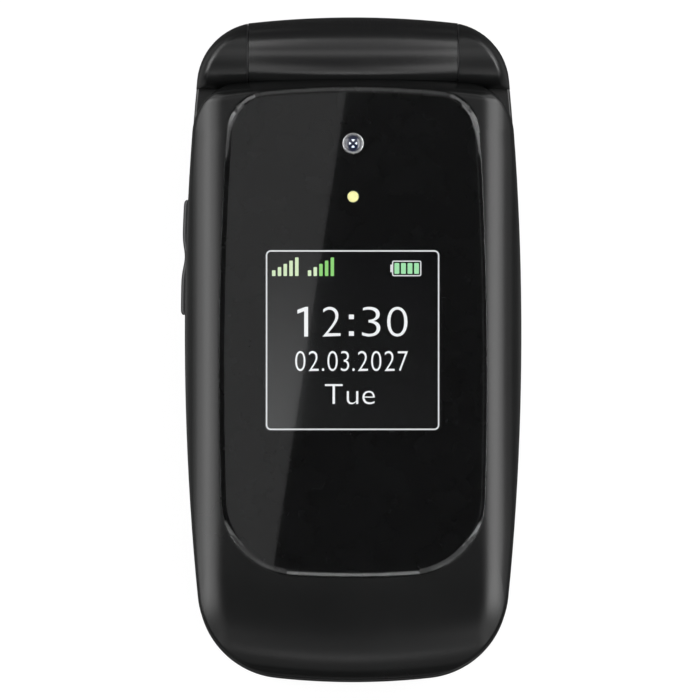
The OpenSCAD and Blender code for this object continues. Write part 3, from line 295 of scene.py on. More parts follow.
def dress(obj, body, material, replaces=(), smooth=32):
    """Shades a piece, gives it its material, ties it to its body, and hides the nodes it stands for."""
    obj.data.shade_smooth()
    obj.data.set_sharp_from_angle(angle=math.radians(smooth))
    weighted = obj.modifiers.new("normals", "WEIGHTED_NORMAL")
    weighted.keep_sharp = True
    obj.data.materials.clear()
    obj.data.materials.append(material)
    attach(obj, body)
    if replaces:
        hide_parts(*replaces)
    return obj


# ---- Materials ----
def material(name, colour, rough, mottle=0.12, patch=9.0, grain=0.0, depth=0.0, streak=None, **sockets):
    """A procedural finish. Colour and roughness drift over patches of the given size, and a fine grain
    of the given size and depth (mm) stands on the surface. streak stretches the grain along one axis."""
    mat = bpy.data.materials.new(name)
    mat.use_nodes = True
    nodes, links = mat.node_tree.nodes, mat.node_tree.links
    shader = nodes["Principled BSDF"]
    place = nodes.new("ShaderNodeTexCoord")
    drift = nodes.new("ShaderNodeTexNoise")
    drift.inputs["Scale"].default_value = 1 / (patch * MM)
    drift.inputs["Detail"].default_value = 4
    links.new(place.outputs["Object"], drift.inputs["Vector"])
    ramp = nodes.new("ShaderNodeValToRGB")
    ramp.color_ramp.elements[0].position, ramp.color_ramp.elements[1].position = 0.3, 0.7
    ramp.color_ramp.elements[0].color = [c * (1 - mottle) for c in colour] + [1]
    ramp.color_ramp.elements[1].color = [min(c * (1 + mottle), 1) for c in colour] + [1]
    links.new(drift.outputs["Fac"], ramp.inputs["Fac"])
    links.new(ramp.outputs["Color"], shader.inputs["Base Color"])
    spread = nodes.new("ShaderNodeMapRange")
    spread.inputs["From Min"].default_value, spread.inputs["From Max"].default_value = 0.3, 0.7
    spread.inputs["To Min"].default_value = max(rough * (1 - mottle / 2), 0.01)
    spread.inputs["To Max"].default_value = min(rough * (1 + mottle / 2), 1)
    links.new(drift.outputs["Fac"], spread.inputs["Value"])
    links.new(spread.outputs["Result"], shader.inputs["Roughness"])
    if grain:
        stretch = nodes.new("ShaderNodeMapping")
        stretch.inputs["Scale"].default_value = streak or (1, 1, 1)
        links.new(place.outputs["Object"], stretch.inputs["Vector"])
        fine = nodes.new("ShaderNodeTexNoise")
        fine.inputs["Scale"].default_value = 1 / (grain * MM)
        fine.inputs["Detail"].default_value = 2
        links.new(stretch.outputs["Vector"], fine.inputs["Vector"])
        bump = nodes.new("ShaderNodeBump")
        bump.inputs["Distance"].default_value = depth * MM
        links.new(fine.outputs["Fac"], bump.inputs["Height"])
        links.new(bump.outputs["Normal"], shader.inputs["Normal"])
    for socket, value in sockets.items():
        shader.inputs[socket.replace("_", " ")].default_value = value
    return mat


def glowing(name, colour, mottle=0.03):
    """A lit layer of a display: the light drifts a little over the panel."""
    mat = material(name, (0.01, 0.01, 0.01), 0.4)
    nodes, links = mat.node_tree.nodes, mat.node_tree.links
    ramp = nodes.new("ShaderNodeValToRGB")
    ramp.color_ramp.elements[0].color = [c * (1 - mottle) for c in colour] + [1]
    ramp.color_ramp.elements[1].color = [*colour, 1]
    links.new(nodes["Noise Texture"].outputs["Fac"], ramp.inputs["Fac"])
    shader = nodes["Principled BSDF"]
    links.new(ramp.outputs["Color"], shader.inputs["Emission Color"])
    shader.inputs["Emission Strength"].default_value = 1
    return mat


TEXTURED = material("shell_textured_black", (0.0028, 0.003, 0.003), 0.26, 0.12, 14, 0.26, 0.005,
                    Specular_IOR_Level=0.5)
SATIN = material("shell_satin_black", (0.0042, 0.0044, 0.0045), 0.3, 0.1, 11, 0.2, 0.003,
                 Specular_IOR_Level=0.6)
BARREL = material("barrel_gloss_black", (0.0042, 0.0044, 0.0045), 0.24, 0.1, 11, 0.2, 0.003,
                  Specular_IOR_Level=1.0)
KEY = material("key_satin_grey", (0.018, 0.018, 0.0195), 0.34, 0.12, 6, 0.18, 0.005)
PRINT = material("window_print_black", (0.0025, 0.0026, 0.0028), 0.22, 0.2, 6, 0.3, 0.0002,
                 Specular_IOR_Level=0.1)
GLASS = material("window_glass", (0.97, 0.98, 0.98), 0.012, 0.01, 12, 3.0, 0.0001,
                 Transmission_Weight=1.0, IOR=1.49)
PANEL = material("display_glass", (0.004, 0.0042, 0.005), 0.09, 0.2, 10, 0.5, 0.0005,
                 Specular_IOR_Level=0.3, Coat_IOR=2.6)
LIT_WHITE = glowing("display_white", (0.97, 0.98, 0.99))
LIT_FRAME = glowing("display_frame", (0.78, 0.79, 0.8))
LIT_GREEN = glowing("display_green", (0.3, 0.74, 0.2), 0.15)
LIT_PALE = glowing("display_pale_green", (0.76, 0.93, 0.6), 0.15)
LIT_BLUE = glowing("display_blue", (0.012, 0.045, 0.12), 0.15)
LIT_MINT = glowing("display_mint", (0.4, 0.86, 0.46), 0.15)


def shade_along_y(mat, socket, y0, y1, low, high):
    """Lets a socket run from low at y0 to high at y1 (mm) over a piece."""
    nodes, links = mat.node_tree.nodes, mat.node_tree.links
    split = nodes.new("ShaderNodeSeparateXYZ")
    links.new(nodes["Texture Coordinate"].outputs["Object"], split.inputs[0])
    span = nodes.new("ShaderNodeMapRange")
    fields = {"From Min": y0 * MM, "From Max": y1 * MM, "To Min": low, "To Max": high}
    for field, value in fields.items():
        span.inputs[field].default_value = value
    links.new(split.outputs["Y"], span.inputs["Value"])
    links.new(span.outputs["Result"], nodes["Principled BSDF"].inputs[socket])


shade_along_y(PANEL, "Coat Weight", -13, 16, 1.0, 0.0)
LEGEND = material("legend_white", (0.62, 0.63, 0.62), 0.5, 0.06, 2, 0.1, 0.004)
LEGEND_GREEN = material("legend_green", (0.05, 0.5, 0.12), 0.45, 0.08, 2, 0.1, 0.004)
LEGEND_RED = material("legend_red", (0.62, 0.04, 0.03), 0.45, 0.08, 2, 0.1, 0.004)
STEEL = material("steel", (0.56, 0.56, 0.57), 0.28, 0.08, 4, 0.12, 0.002, (1, 8, 1), Metallic=1.0)
RING_METAL = material("ring_metal", (0.78, 0.78, 0.79), 0.2, 0.05, 1, 0.1, 0.001, Metallic=1.0)
GOLD = material("contact_gold", (0.83, 0.6, 0.24), 0.25, 0.08, 2, 0.1, 0.001, Metallic=1.0)
BOARD = material("circuit_board", (0.012, 0.09, 0.045), 0.36, 0.2, 2.5, 0.5, 0.01)
BLACK_PART = material("black_part", (0.02, 0.02, 0.021), 0.5, 0.15, 4, 0.2, 0.006)
MEMBRANE = material("membrane", (0.62, 0.62, 0.59), 0.45, 0.08, 6, 0.3, 0.003)
BUMPER = material("bumper_rubber", (0.014, 0.014, 0.014), 0.75, 0.15, 2, 0.15, 0.01)
FLEX = material("flex_cable", (0.46, 0.2, 0.035), 0.32, 0.15, 3, 0.4, 0.004, (8, 1, 1))
BATTERY = material("battery_wrap", (0.05, 0.053, 0.06), 0.38, 0.1, 12, 0.6, 0.004)
BEARING = material("bearing", (0.7, 0.7, 0.64), 0.4, 0.06, 3, 0.15, 0.002)
LENS = material("lens_glass", (0.006, 0.009, 0.03), 0.04, 0.2, 1.5, 0.5, 0.0004,
                Coat_Weight=1.0, Coat_Roughness=0.02)
# Pale colour of the painted glints on the camera lens: solid wedges that stand in for the lamps'
# reflections
PAINTED_GLINT_MAT = material("painted_lens_glint", (0.8, 0.84, 0.9), 0.25, 0.05, 0.4, 0.1, 0.001)
FLASH = material("flash_diffuser", (0.82, 0.76, 0.32), 0.3, 0.08, 0.5, 0.12, 0.004,
                 Subsurface_Weight=0.2)

# ---- Lid: outer shell ----
inner_rim = with_top(inset(LID_RIM, WALL), 38.42, 8.5)
inner_flat = with_top(LID_FLAT, 38.42, 8.5)


def flex_slot():
    return block("slot", (-11.4, 37.4, 12.95), (-4.6, 43.7, 13.65))


def swing_cut():
    """Room in the lid for the barrel and, on both sides of it, for the knuckles."""
    return [barrel_space(BARREL_HALF, SEAM), rod("swing", crown(KNUCKLE_X) + 0.3, BARREL_HALF, 60),
            rod("swing", crown(KNUCKLE_X) + 0.3, -60, -BARREL_HALF)]


# Where the side roll meets the flat face, the radius along the rim, and how far the hinge end's
# roll is eased towards the window
SIDE_FLAT, LID_EDGE, HINGE_END_EASE = 19.6, 0.5, 0.9
FACE_RINGS, FACE_CROWDING = 28, 1.2


def roll_height(part):
    """The height of a quarter ellipse, from 0 at part = 0 to 1 at part = 1 and beyond."""
    t = min(max(part, 0), 1)
    return math.sqrt(t * (2 - t))


def end_y(o, x, side):
    """The end arc of an outline, carried on past its corners. side is 1 at the hinge and -1 at the
    free end."""
    y, r = (o[3], o[4]) if side > 0 else (o[6], o[7])
    return y - side * (r - math.sqrt(r * r - x * x))


def lid_height(x, y):
    """The lid's face: its sides roll off along straight lines, its ends along their own arcs."""
    drop = 1 - roll_height((LID_RIM[0] - abs(x)) / (LID_RIM[0] - SIDE_FLAT))
    for side in (1, -1):
        foot, top = end_y(LID_RIM, x, side), end_y(LID_FLAT, x, side)
        if side > 0:
            top -= HINGE_END_EASE
        drop += 1 - roll_height((foot - y) / (foot - top))
    return LID_TOP - (LID_TOP - LID_ROLL) * min(drop, 1)


def lid_face():
    """Rings of the lid's face, from the rounded edge along the rim to inside the window's edge."""
    rings = []
    for a in np.radians(np.linspace(0, 90, 7)):
        off, fall = LID_EDGE * (1 - math.cos(a)), LID_EDGE * (1 - math.sin(a))
        rings.append([(x, y, max(lid_height(x, y) - fall, LID_ROLL))
                      for x, y in outline(inset(LID_RIM, off))])
    start, stop = inset(LID_RIM, LID_EDGE), inset(WINDOW_RIM, 0.6)
    for i in range(1, FACE_RINGS + 1):
        part = (i / FACE_RINGS) ** FACE_CROWDING
        rings.append([(x, y, lid_height(x, y)) for x, y in outline(mix(start, stop, part))])
    return rings


lid_shell = loft("lid_shell", roll(inner_rim, inner_flat, LID_ROLL, LID_CEILING - LID_ROLL)[::-1] + [
    ring(inner_rim, LID_SEAM), ring(inset(LID_RIM, 0.1), LID_SEAM), ring(LID_RIM, LID_SEAM + 0.1),
] + lid_face())
recess = inset(WINDOW_RIM, -0.1)
cut(lid_shell, *swing_cut(), flex_slot(),
    loft("recess", [ring(recess, 18.05), ring(recess, 18.9), ring(inset(recess, -0.1), 19.0),
                    ring(inset(recess, -0.1), 20)]),
    plate("opening", 28, 29.4, 1, 16, 19, (0, SMALL_Y)),
    post("hole", 2.4, 0, CAMERA_Y, 16, 19), post("hole", 0.95, 0, FLASH_Y, 16, 19))
dress(lid_shell, "lid", TEXTURED, ["lid_outer_shell"])

# ---- Lid: inner shell, with the neck and the yoke that hold the barrel ----
LID_SOFT = 0.35
inner_shell = loft("lid_inner", [
    ring(inset(LID_RIM, LID_SOFT * part), LID_Z + up)
    for part, up in ((1, 0), (0.62, 0.05), (0.29, 0.13), (0.08, 0.22), (0, LID_SOFT))
] + [
    ring(LID_RIM, LID_SEAM - SEAM - 0.1), ring(inset(LID_RIM, 0.1), LID_SEAM - SEAM),
    ring(inner_rim, LID_SEAM - SEAM), ring(inner_rim, LID_FLOOR),
])
LID_SCREWS = [(s * x, y) for s in (-1, 1) for x, y in ((22.3, 32.7), (21.2, -37.4))]
join(inner_shell, *[post("boss", 2.7, x, y, LID_Z + 0.5, 12.75) for x, y in LID_SCREWS])
cut(inner_shell, *swing_cut(),
    plate("recess", 43.6, 66.2, 4, 9.6, 11.45, (0, SCREEN_MID)),
    plate("opening", 38, 51, 1, 10.6, 13, (0, SCREEN_MID)),
    plate("earpiece", 9, 1.4, 0.69, 9.6, 13, (0, -44)),
    *[post("cap", 2.0, x, y, 9.6, LID_Z + 1.5) for x, y in LID_SCREWS],
    *[post("screw", 0.85, x, y, LID_Z + 1, 12.9, 24) for x, y in LID_SCREWS])
neck = block("neck", (-BARREL_HALF, 38.0, LID_Z), (BARREL_HALF, 40.8, LID_SEAM - SEAM))
yoke_rim = [(crown(x), x) for x in np.linspace(-BARREL_HALF, BARREL_HALF, 25)]
yoke = sector("yoke", [(3.6, -BARREL_HALF)] + yoke_rim + [(3.6, BARREL_HALF)], 142.8, 297.2)
join(inner_shell, neck, yoke,
     rod("seat", 3.75, 3.6, BARREL_HALF), rod("seat", 3.75, -BARREL_HALF, -12.95))
cut(inner_shell, rod("bore", 2.85, 2.6, 17.4), rod("bore", 2.65, -17.4, -11.9), flex_slot())
dress(inner_shell, "lid", SATIN, ["lid_inner_shell"])

# ---- Barrel cover: the crowned outer half of the hinge barrel ----
CHAMFER, COVER_BORE = 0.06, 4.0
straight = BARREL_HALF - CHAMFER
ends = [(COVER_BORE, BARREL_HALF), (crown(straight) - CHAMFER, BARREL_HALF)]
profile = [(r, -x) for r, x in ends]
profile += [(crown(x), x) for x in np.linspace(-straight, straight, 27)] + ends[::-1]
barrel = sector("barrel_cover", profile, -62, 142, 120)
dress(barrel, "lid", BARREL, ["hinge_barrel_cover"])

# A washer in the gap between each end of the barrel and its knuckle
WASHER_BORE, WASHER_R, WASHER_THICK = 2.75, 5.1, 0.14
for side, low in (("left", -16.52), ("right", 16.38)):
    high = low + WASHER_THICK
    washer = turned(f"hinge_washer_{side}", [
        (WASHER_BORE, low), (WASHER_R, low), (WASHER_R, high), (WASHER_BORE, high)], ON_HINGE, 96)
    dress(washer, "base", BLACK_PART)

# ---- Base: front housing with the two knuckles ----
REAR_C, REAR_R, STOP = (31.87, 22.96), 22.96, -38.0


def behind_the_back():
    """Everything behind the arc in which the back rises to the hinge."""
    r = crown(KNUCKLE_X) - 0.5
    points = [(REAR_C[0] + REAR_R * math.cos(a), REAR_C[1] + REAR_R * math.sin(a))
              for a in np.radians(np.linspace(-90, STOP, 25))]
    stop = math.radians(STOP)
    points += [(HINGE_Y + r * math.cos(stop), HINGE_Z + r * math.sin(stop)), (HINGE_Y + r, HINGE_Z),
               (HINGE_Y + r, HINGE_Z + 20), (HINGE_Y + 40, HINGE_Z + 20), (HINGE_Y + 40, -5),
               (REAR_C[0], -5)]
    return loft("behind", [[(x, y, z) for y, z in reversed(points)] for x in (-60, 60)])


def barrel_pocket():
    """Room in the base for the barrel, open towards the hinge end."""
    return [barrel_space(KNUCKLE_X, 0.35),
            block("pocket", (-KNUCKLE_X, HINGE_Y - 0.9, -1), (KNUCKLE_X, 66, 40))]


def usb_opening():
    return plate("usb", 7.9, 8.2, 1.2, 5.8, 8.7, (0, -48.9))


ROWS = [-8.2, -18.8, -29.4, -40.0]
COLUMNS = [-13.8, 0, 13.8]
LEGENDS = ["1", "2", "3", "4", "5", "6", "7", "8", "9", "*", "0", "#"]
KEYS = {f"key_{ {'*': 'star', '#': 'hash'}.get(c, c)}": (COLUMNS[i % 3], ROWS[i // 3], 12.6, 9.0)
        for i, c in enumerate(LEGENDS)}
SIDE_KEY_X, SIDE_KEY_Y = 16, 5.35
KEYS.update({f"key_{name}": (sx * SIDE_KEY_X, NAV_Y + sy * SIDE_KEY_Y, 10.4, 8.4) for name, sx, sy in (
    ("soft_left", -1, 1), ("soft_right", 1, 1), ("call", -1, -1), ("end", 1, -1))})
ROCKER_Y, ROCKER_Z, ROCKER_L, ROCKER_H = 14.5, 7.3, 18.0, 3.2
BOSSES = [(s * x, y) for s in (1, -1) for x, y in ((12.4, -47.6), (21.4, 23.5))]

inner = with_top(inset(BASE_RIM, WALL), 38.2, 5)
BASE_SOFT = 0.4
front = loft("base_front", [
    ring(inner, PLATE_Z), ring(inner, FRONT_Z), ring(inset(BASE_RIM, 0.1), FRONT_Z),
    ring(BASE_RIM, FRONT_Z + 0.1),
] + [
    ring(inset(BASE_RIM, BASE_SOFT * part), BASE_TOP - BASE_SOFT * down)
    for part, down in ((0, 1), (0.08, 0.6), (0.3, 0.3), (0.62, 0.08), (1, 0))
])
join(front, *[post("boss", 1.5, x, y, 6.65, 9.3) for x, y in BOSSES])
cut(front, behind_the_back(),
    *[plate("key", w + 0.3, l + 0.3, 2.2, 8.2, 11.2, (x, y)) for x, y, w, l in KEYS.values()],
    post("ring", 9.45, 0, NAV_Y, 8.2, 11.2, 96),
    block("rocker", (-28.2, ROCKER_Y - 9.15, ROCKER_Z - 1.75),
          (-24.3, ROCKER_Y + 9.15, ROCKER_Z + 1.75)),
    usb_opening(), rod("jack", 1.9, 23.21, 26.81, across(30.9, 6.75), 48),
    post("mic", 0.5, -9, -47.4, 8.2, 11.2, 24))

KNUCKLE_ROLL, KNUCKLE_FULLNESS = 1.6, 2.3
KNUCKLE_CORNER = corner_centre((BASE_RIM[0] - BASE_RIM[2], BASE_RIM[1]), BASE_RIM[2],
                               (0, BASE_RIM[3] - BASE_RIM[4]), BASE_RIM[4], BASE_RIM[5], 1)


def knuckle(side):
    """A knuckle: round about the hinge, its upper half fuller and rolled over at the base's outline."""
    r, sections = crown(KNUCKLE_X), []
    for x in np.linspace(KNUCKLE_X, BASE_RIM[0], 41):
        section = []
        for a in np.radians(np.arange(0, 360, 4)):
            power = 2 / KNUCKLE_FULLNESS if math.cos(a) > 0 else 1
            y, z = [r * math.copysign(abs(part) ** power, part) for part in (math.sin(a), math.cos(a))]
            y += HINGE_Y
            if y > KNUCKLE_CORNER[1]:
                from_edge = BASE_RIM[5] - math.dist((x, y), KNUCKLE_CORNER)
            else:
                from_edge = side_x(BASE_RIM, y) - x
            if z > 0:
                z *= roll_height(from_edge / KNUCKLE_ROLL)
            section.append((side * x, y, HINGE_Z + z))
        sections.append(section[::-side])
    piece = loft("knuckle", sections)
    return within(piece, prism("round", outline(BASE_RIM), FRONT_Z, 20))


join(front, knuckle(1), knuckle(-1))
head = turned("head", [(0, 15.55), (2.35, 15.55), (2.35, 20.55), (0, 20.55)], ON_HINGE, 48)
within(head, block("flats", (10, 40, HINGE_Z - 1.75), (30, 52, HINGE_Z + 1.75)))
cut(front, *barrel_pocket(), head, rod("bush", 2.62, -18.2, -15.55),
    rod("flex", 1.7, -20.4, -18.1), block("flex", (-20.4, 44.2, 7.75), (-18.1, HINGE_Y, HINGE_Z)),
    block("flex", (-20.4, 33.7, 7.75), (-18.1, HINGE_Y, 8.35)),
    *[post("screw", 0.7, x, y, FRONT_Z, 8.7, 24) for x, y in BOSSES])
dress(front, "base", SATIN, ["base_front_housing"])


# ---- Base: rear housing and battery cover ----
def back_rings(rim, z_top, steps=18):
    """Rings of the rolled edge of the back, from the flat back up."""
    angles = [math.pi / 2 * i / steps for i in range(steps, 0, -1)]
    return [ring(mix(rim, BACK_FLAT, 1 - math.cos(a)), z_top * (1 - math.sin(a))) for a in angles]


COVER_END, COVER_H = 26.0, 4.55
rear = loft("rear_block", back_rings(BASE_RIM, 4.3) + [
    ring(BASE_RIM, 4.45), ring(inset(BASE_RIM, 0.1), COVER_H)])
within(rear, block("part", (-30, COVER_END + 0.15, -1), (30, 60, 6)))
cut(rear, behind_the_back())
frame_rim = with_top(inset(BASE_RIM, 1.45), 38, 5)
rear = join(loft("base_rear", [ring(frame_rim, z) for z in (COVER_H, 6.55)]), rear,
            block("bay", (-18.25, -29.35, 1.6), (18.25, 19.15, 5.2)))
cut(rear, block("battery", (-17.35, -28.45, -1), (17.35, 18.25, 5.85)),
    block("contacts", (-6.3, 17.25, 2.3), (6.3, 20.65, 5.85)),
    plate("speaker", 15.3, 9.3, 1, 1.2, 7.6, (-11.5, 31.4)),
    post("motor", 4.15, 2.8, 31.4, 1.3, 11.3),
    *[plate("grille", 9, 0.8, 0.39, -1, 2.2, (-11.5, 31.4 + 1.7 * i), n=6) for i in range(-2, 3)],
    usb_opening(), block("jack", (9.46, 28.45, 4.4), (25.01, 33.35, 9.2)),
    block("rocker", (-52, 4.5, 5.55), (-23.03, 24.5, 10.5)), *barrel_pocket(),
    *[post("screw", 0.85, x, y, -1, 11, 24) for x, y in BOSSES],
    *[post("head", 1.55, x, y, -1, 5.35, 32) for x, y in BOSSES])
dress(rear, "base", TEXTURED, ["base_rear_housing"])

cover_inner = inset(BASE_RIM, 1.15)
cover = loft("back_cover", back_rings(BASE_RIM, 4.3) + [
    ring(BASE_RIM, 4.3), ring(BASE_RIM, 4.45), ring(inset(BASE_RIM, 0.1), COVER_H),
    ring(cover_inner, COVER_H),
] + [ring(mix(cover_inner, BACK_FLAT, 1 - math.cos(a)), 4.3 - (4.3 - 1.15) * math.sin(a))
     for a in np.radians(np.linspace(0, 90, 8))])
within(cover, block("part", (-30, -60, -1), (30, COVER_END, 6)))
cut(cover, post("notch", 9, 0, -59.9, 3.65, 6, 96))
dress(cover, "battery_cover", TEXTURED, ["battery_cover"])

# ---- Side rocker: a bump at each end and a dip between them, rounded over above and below ----
def rocker_face(y):
    u = (y - ROCKER_Y) / (ROCKER_L / 2)
    return side_x(BASE_RIM, y) + 0.7 - 0.45 * math.exp(-18 * u * u) - 0.35 * abs(u) ** 40


ROCKER_BACK, ROCKER_SOFT = 23.58, 0.45
sections = []
for i in range(-24, 25):
    y = ROCKER_Y + ROCKER_L / 2 * math.sin(math.pi / 48 * i)
    arc_points = soft_corner(rocker_face(y), ROCKER_H / 2 - ROCKER_SOFT, ROCKER_SOFT, ROCKER_SOFT, 0)
    upper = arc_points + [(ROCKER_BACK, ROCKER_H / 2)]
    contour = [(x, -z) for x, z in reversed(upper)] + upper
    sections.append([(-x, y, ROCKER_Z + z) for x, z in contour])
rocker = loft("rocker", sections)
join(rocker, block("flange", (-23.98, 4.8, 6.0), (-23.5, 24.2, 8.6)))
dress(rocker, "volume_rocker", KEY, ["volume_rocker"])

# ---- Keys ----
DRAWN = {"1": [[(0.165, 0), (0.26, 0), (0.26, 0.69), (0.2, 0.69), (0, 0.62), (0, 0.53), (0.165, 0.59)]],
         ":": [[(0, y), (0.115, y), (0.115, y + 0.105), (0, y + 0.105)] for y in (0.02, 0.405)]}


def letters(text, low, high, z, thick, weight=-0.012, gap=0.12):
    """Plain lettering as solids, fitted to the box from low to high."""
    parts, x = [], 0.0
    for c in text:
        if c in DRAWN:
            part = merged("drawn", [prism("part", shape, -0.5, 0.5) for shape in DRAWN[c]])
            spots = np.array([v.co for v in part.data.vertices]) / MM
        else:
            curve = bpy.data.curves.new("glyph", "FONT")
            curve.body, curve.extrude, curve.resolution_u, curve.offset = c, 0.5, 6, weight
            glyph = bpy.data.objects.new("glyph", curve)
            scene.collection.objects.link(glyph)
            graph = bpy.context.evaluated_depsgraph_get()
            mesh = bpy.data.meshes.new_from_object(glyph.evaluated_get(graph))
            bpy.data.objects.remove(glyph)
            part = bpy.data.objects.new("glyph", mesh)
            scene.collection.objects.link(part)
            spots = np.array([v.co for v in mesh.vertices])
        spots[:, 0] += x - spots[:, 0].min()
        x = spots[:, 0].max() + gap
        part.data.vertices.foreach_set("co", (spots * MM).astype(np.float32).ravel())
        parts.append(part)
    piece = merged("lettering", parts)
    spots = np.array([v.co for v in piece.data.vertices])
    floor, span = spots.min(0), np.ptp(spots, axis=0)
    size = np.array([high[0] - low[0], high[1] - low[1], thick])
    corner = np.array([low[0], low[1], z])
    spots = ((spots - floor) / span * size + corner) * MM
    piece.data.vertices.foreach_set("co", spots.astype(np.float32).ravel())
    piece.data.update()
    return piece


def key_cap(name, x, y, w, l):
    """A key: straight sides, a soft edge and a top that is flat."""
    levels = [(0, KEY_FOOT), (0, 9.98)]
    levels += soft_corner(0, 9.98, 0.45, 0.37, 12, 8)
    cap = loft(name, [[(px + x, py + y, z) for px, py in rounded(w + 2 * d, l + 2 * d, 2.2)]
                      for d, z in levels])
    return join(cap, plate("flange", w + 1, l + 1, 2.2, KEY_FOOT, 9.0, (x, y)))


def polyline(name, points, width, z0, z1):
    """A stroke of the given width along a line of points."""
    left, right = [], []
    for i, (x, y) in enumerate(points):
        (x0, y0), (x1, y1) = points[max(i - 1, 0)], points[min(i + 1, len(points) - 1)]
        d = math.hypot(x1 - x0, y1 - y0)
        nx, ny = -(y1 - y0) / d * width / 2, (x1 - x0) / d * width / 2
        left.append((x + nx, y + ny))
        right.append((x - nx, y - ny))
    return prism(name, right + left[::-1], z0, z1)


def handset(x, y, turn, z0, z1):
    """A plain handset: a bow with a pad at each end."""
    reach, pad_at = 58, 1.5
    spine = [(1.9 * math.cos(a), 1.9 * math.sin(a)) for a in np.radians(np.linspace(-reach, reach, 13))]
    bow = polyline("bow", spun(spine, turn, x, y), 0.62, z0, z1)
    pads = []
    for degrees in (-reach, reach):
        a = math.radians(degrees)
        pad = spun(rounded(1.35, 1.0, 0.25, 4), degrees, pad_at * math.cos(a), pad_at * math.sin(a))
        pads.append(prism("pad", spun(pad, turn, x, y), z0, z1))
    return join(bow, *pads)


INK = (KEY_TOP - 0.03, KEY_TOP + 0.012)
for name, (x, y, w, l) in KEYS.items():
    dress(key_cap(f"{name}_cap", x, y, w, l), name, KEY, [name])
for i, c in enumerate(LEGENDS):
    name = list(KEYS)[i]
    x, y = KEYS[name][:2]
    half_w, half_h = (1.15, 1.75) if c not in "*#" else (1.2, 1.25)
    if c == "1":
        half_w = 0.55
    ink = letters(c, (x - half_w, y - half_h), (x + half_w, y + half_h), INK[0], INK[1] - INK[0])
    ink.name = f"{name}_legend"
    dress(ink, name, LEGEND)
for name, drop, turn, mat in (("key_call", 0, 225, LEGEND_GREEN), ("key_end", 0.6, 90, LEGEND_RED)):
    x, y = KEYS[name][:2]
    dress(merged(f"{name}_legend", [handset(x, y - drop, turn, *INK)]), name, mat)
for name in ("key_soft_left", "key_soft_right"):
    dress(plate(f"{name}_legend", 3.4, 0.6, 0.29, *INK, KEYS[name][:2]), name, LEGEND)

# ---- Navigation ring with the confirm key ----
ring_profile = [(4.55, 9.03), (8.9, 9.03), (9.2, 9.28), (9.2, 9.85)]
ring_profile += soft_corner(9.2, 9.85, 0.75, 0.49)
ring_profile += [(7.6, 10.35), (6.4, 10.34), (5.45, 10.3), (4.95, 10.22), (4.7, 10.12), (4.55, 9.95)]
nav_top = turned("nav_ring_top", ring_profile, upright(0, NAV_Y), 128)
dress(nav_top, "nav_ring", KEY, ["nav_ring"])
tip = [(7.75, 0), (6.95, 0.75), (6.95, -0.75)]
marks = [prism("mark", spun(tip, turn, 0, NAV_Y), KEY_TOP - 0.04, KEY_TOP + 0.012)
         for turn in (0, 90, 180, 270)]
dress(merged("nav_ring_marks", marks), "nav_ring", LEGEND)
ok_profile = [(0, KEY_FOOT), (4.2, KEY_FOOT), (4.2, 10.0)]
ok_profile += soft_corner(4.2, 10.0, 0.8, 0.37)
ok_profile += [(2.6, 10.345), (1.3, 10.31), (0, 10.29)]
ok_cap = turned("key_ok_cap", ok_profile, upright(0, NAV_Y), 96)
dress(ok_cap, "key_ok", KEY, ["key_ok"])

# ---- Outer window: clear glass with a rounded bevel over a black print ----
GLASS_FOOT = 18.1
# The bevel's drop along the sides, and what is added to it past END_START from the window's middle
BEVEL_DROP, END_DROP, WINDOW_MIDDLE, END_START, END_BLEND = 0.09, 0.2, 3, 29, 5


def bevel_ring(t):
    """A ring of the window's bevel, from its foot at t = 0 to the flat face at t = 1. The bevel is
    shallow along the sides and drops further at both ends."""
    points = outline(inset(WINDOW_RIM, 0.05 + 0.8 * t))
    drops = [BEVEL_DROP + END_DROP * min(max((abs(y - WINDOW_MIDDLE) - END_START) / END_BLEND, 0), 1)
             for _, y in points]
    share = float(np.interp(t, (0, 0.6, 1), (1, 0.28, 0)))
    return [(x, y, LID_TOP - drop * share) for (x, y), drop in zip(points, drops)]


bevel = [ring(inset(WINDOW_RIM, 0.05), GLASS_FOOT), ring(WINDOW_RIM, GLASS_FOOT + 0.05)]
bevel += [ring(WINDOW_RIM, 18.6)] + [bevel_ring(t) for t in (0, 0.3, 0.6, 0.8, 1)]
glass = cut(loft("window_glass", bevel), post("camera", 1.7, 0, CAMERA_Y, 17, 21, 64),
            post("flash", 0.95, 0, FLASH_Y, 17, 21))
dress(glass, "lid", GLASS, ["outer_window"], 8)
film = loft("window_print", [ring(inset(WINDOW_RIM, 0.1), z) for z in (18.06, 18.095)])
cut(film, plate("opening", 27.5, 28.5, 0.7, 17, 19, (0, 1.6)),
    post("camera", 1.75, 0, CAMERA_Y, 17, 21, 64), post("flash", 1.0, 0, FLASH_Y, 17, 21))
dress(film, "lid", PRINT)

# ---- The small display: a clock in digits, the date, and the usual marks for signal and charge ----
GLOW = (16.92, 16.95)
FRAME_W, FRAME_H, FRAME_AT, FRAME_LINE = 27.06, 28.05, (-0.08, 1.54), 0.23
# The size of a pixel of the picture (mm), and the pixel at which the origin lies
PIXEL, ORIGIN_X, ORIGIN_Y = 0.15651, 353.1, 350


def glow_plate(w, l, r, at):
    return plate("lit", w, l, r, *GLOW, at, n=4)


def on_picture(x0, y0, x1, y1):
    """Lowest and highest corner of a box given in the picture's own pixels."""
    return (((x0 - ORIGIN_X) * PIXEL, (ORIGIN_Y - y1) * PIXEL),
            ((x1 - ORIGIN_X) * PIXEL, (ORIGIN_Y - y0) * PIXEL))


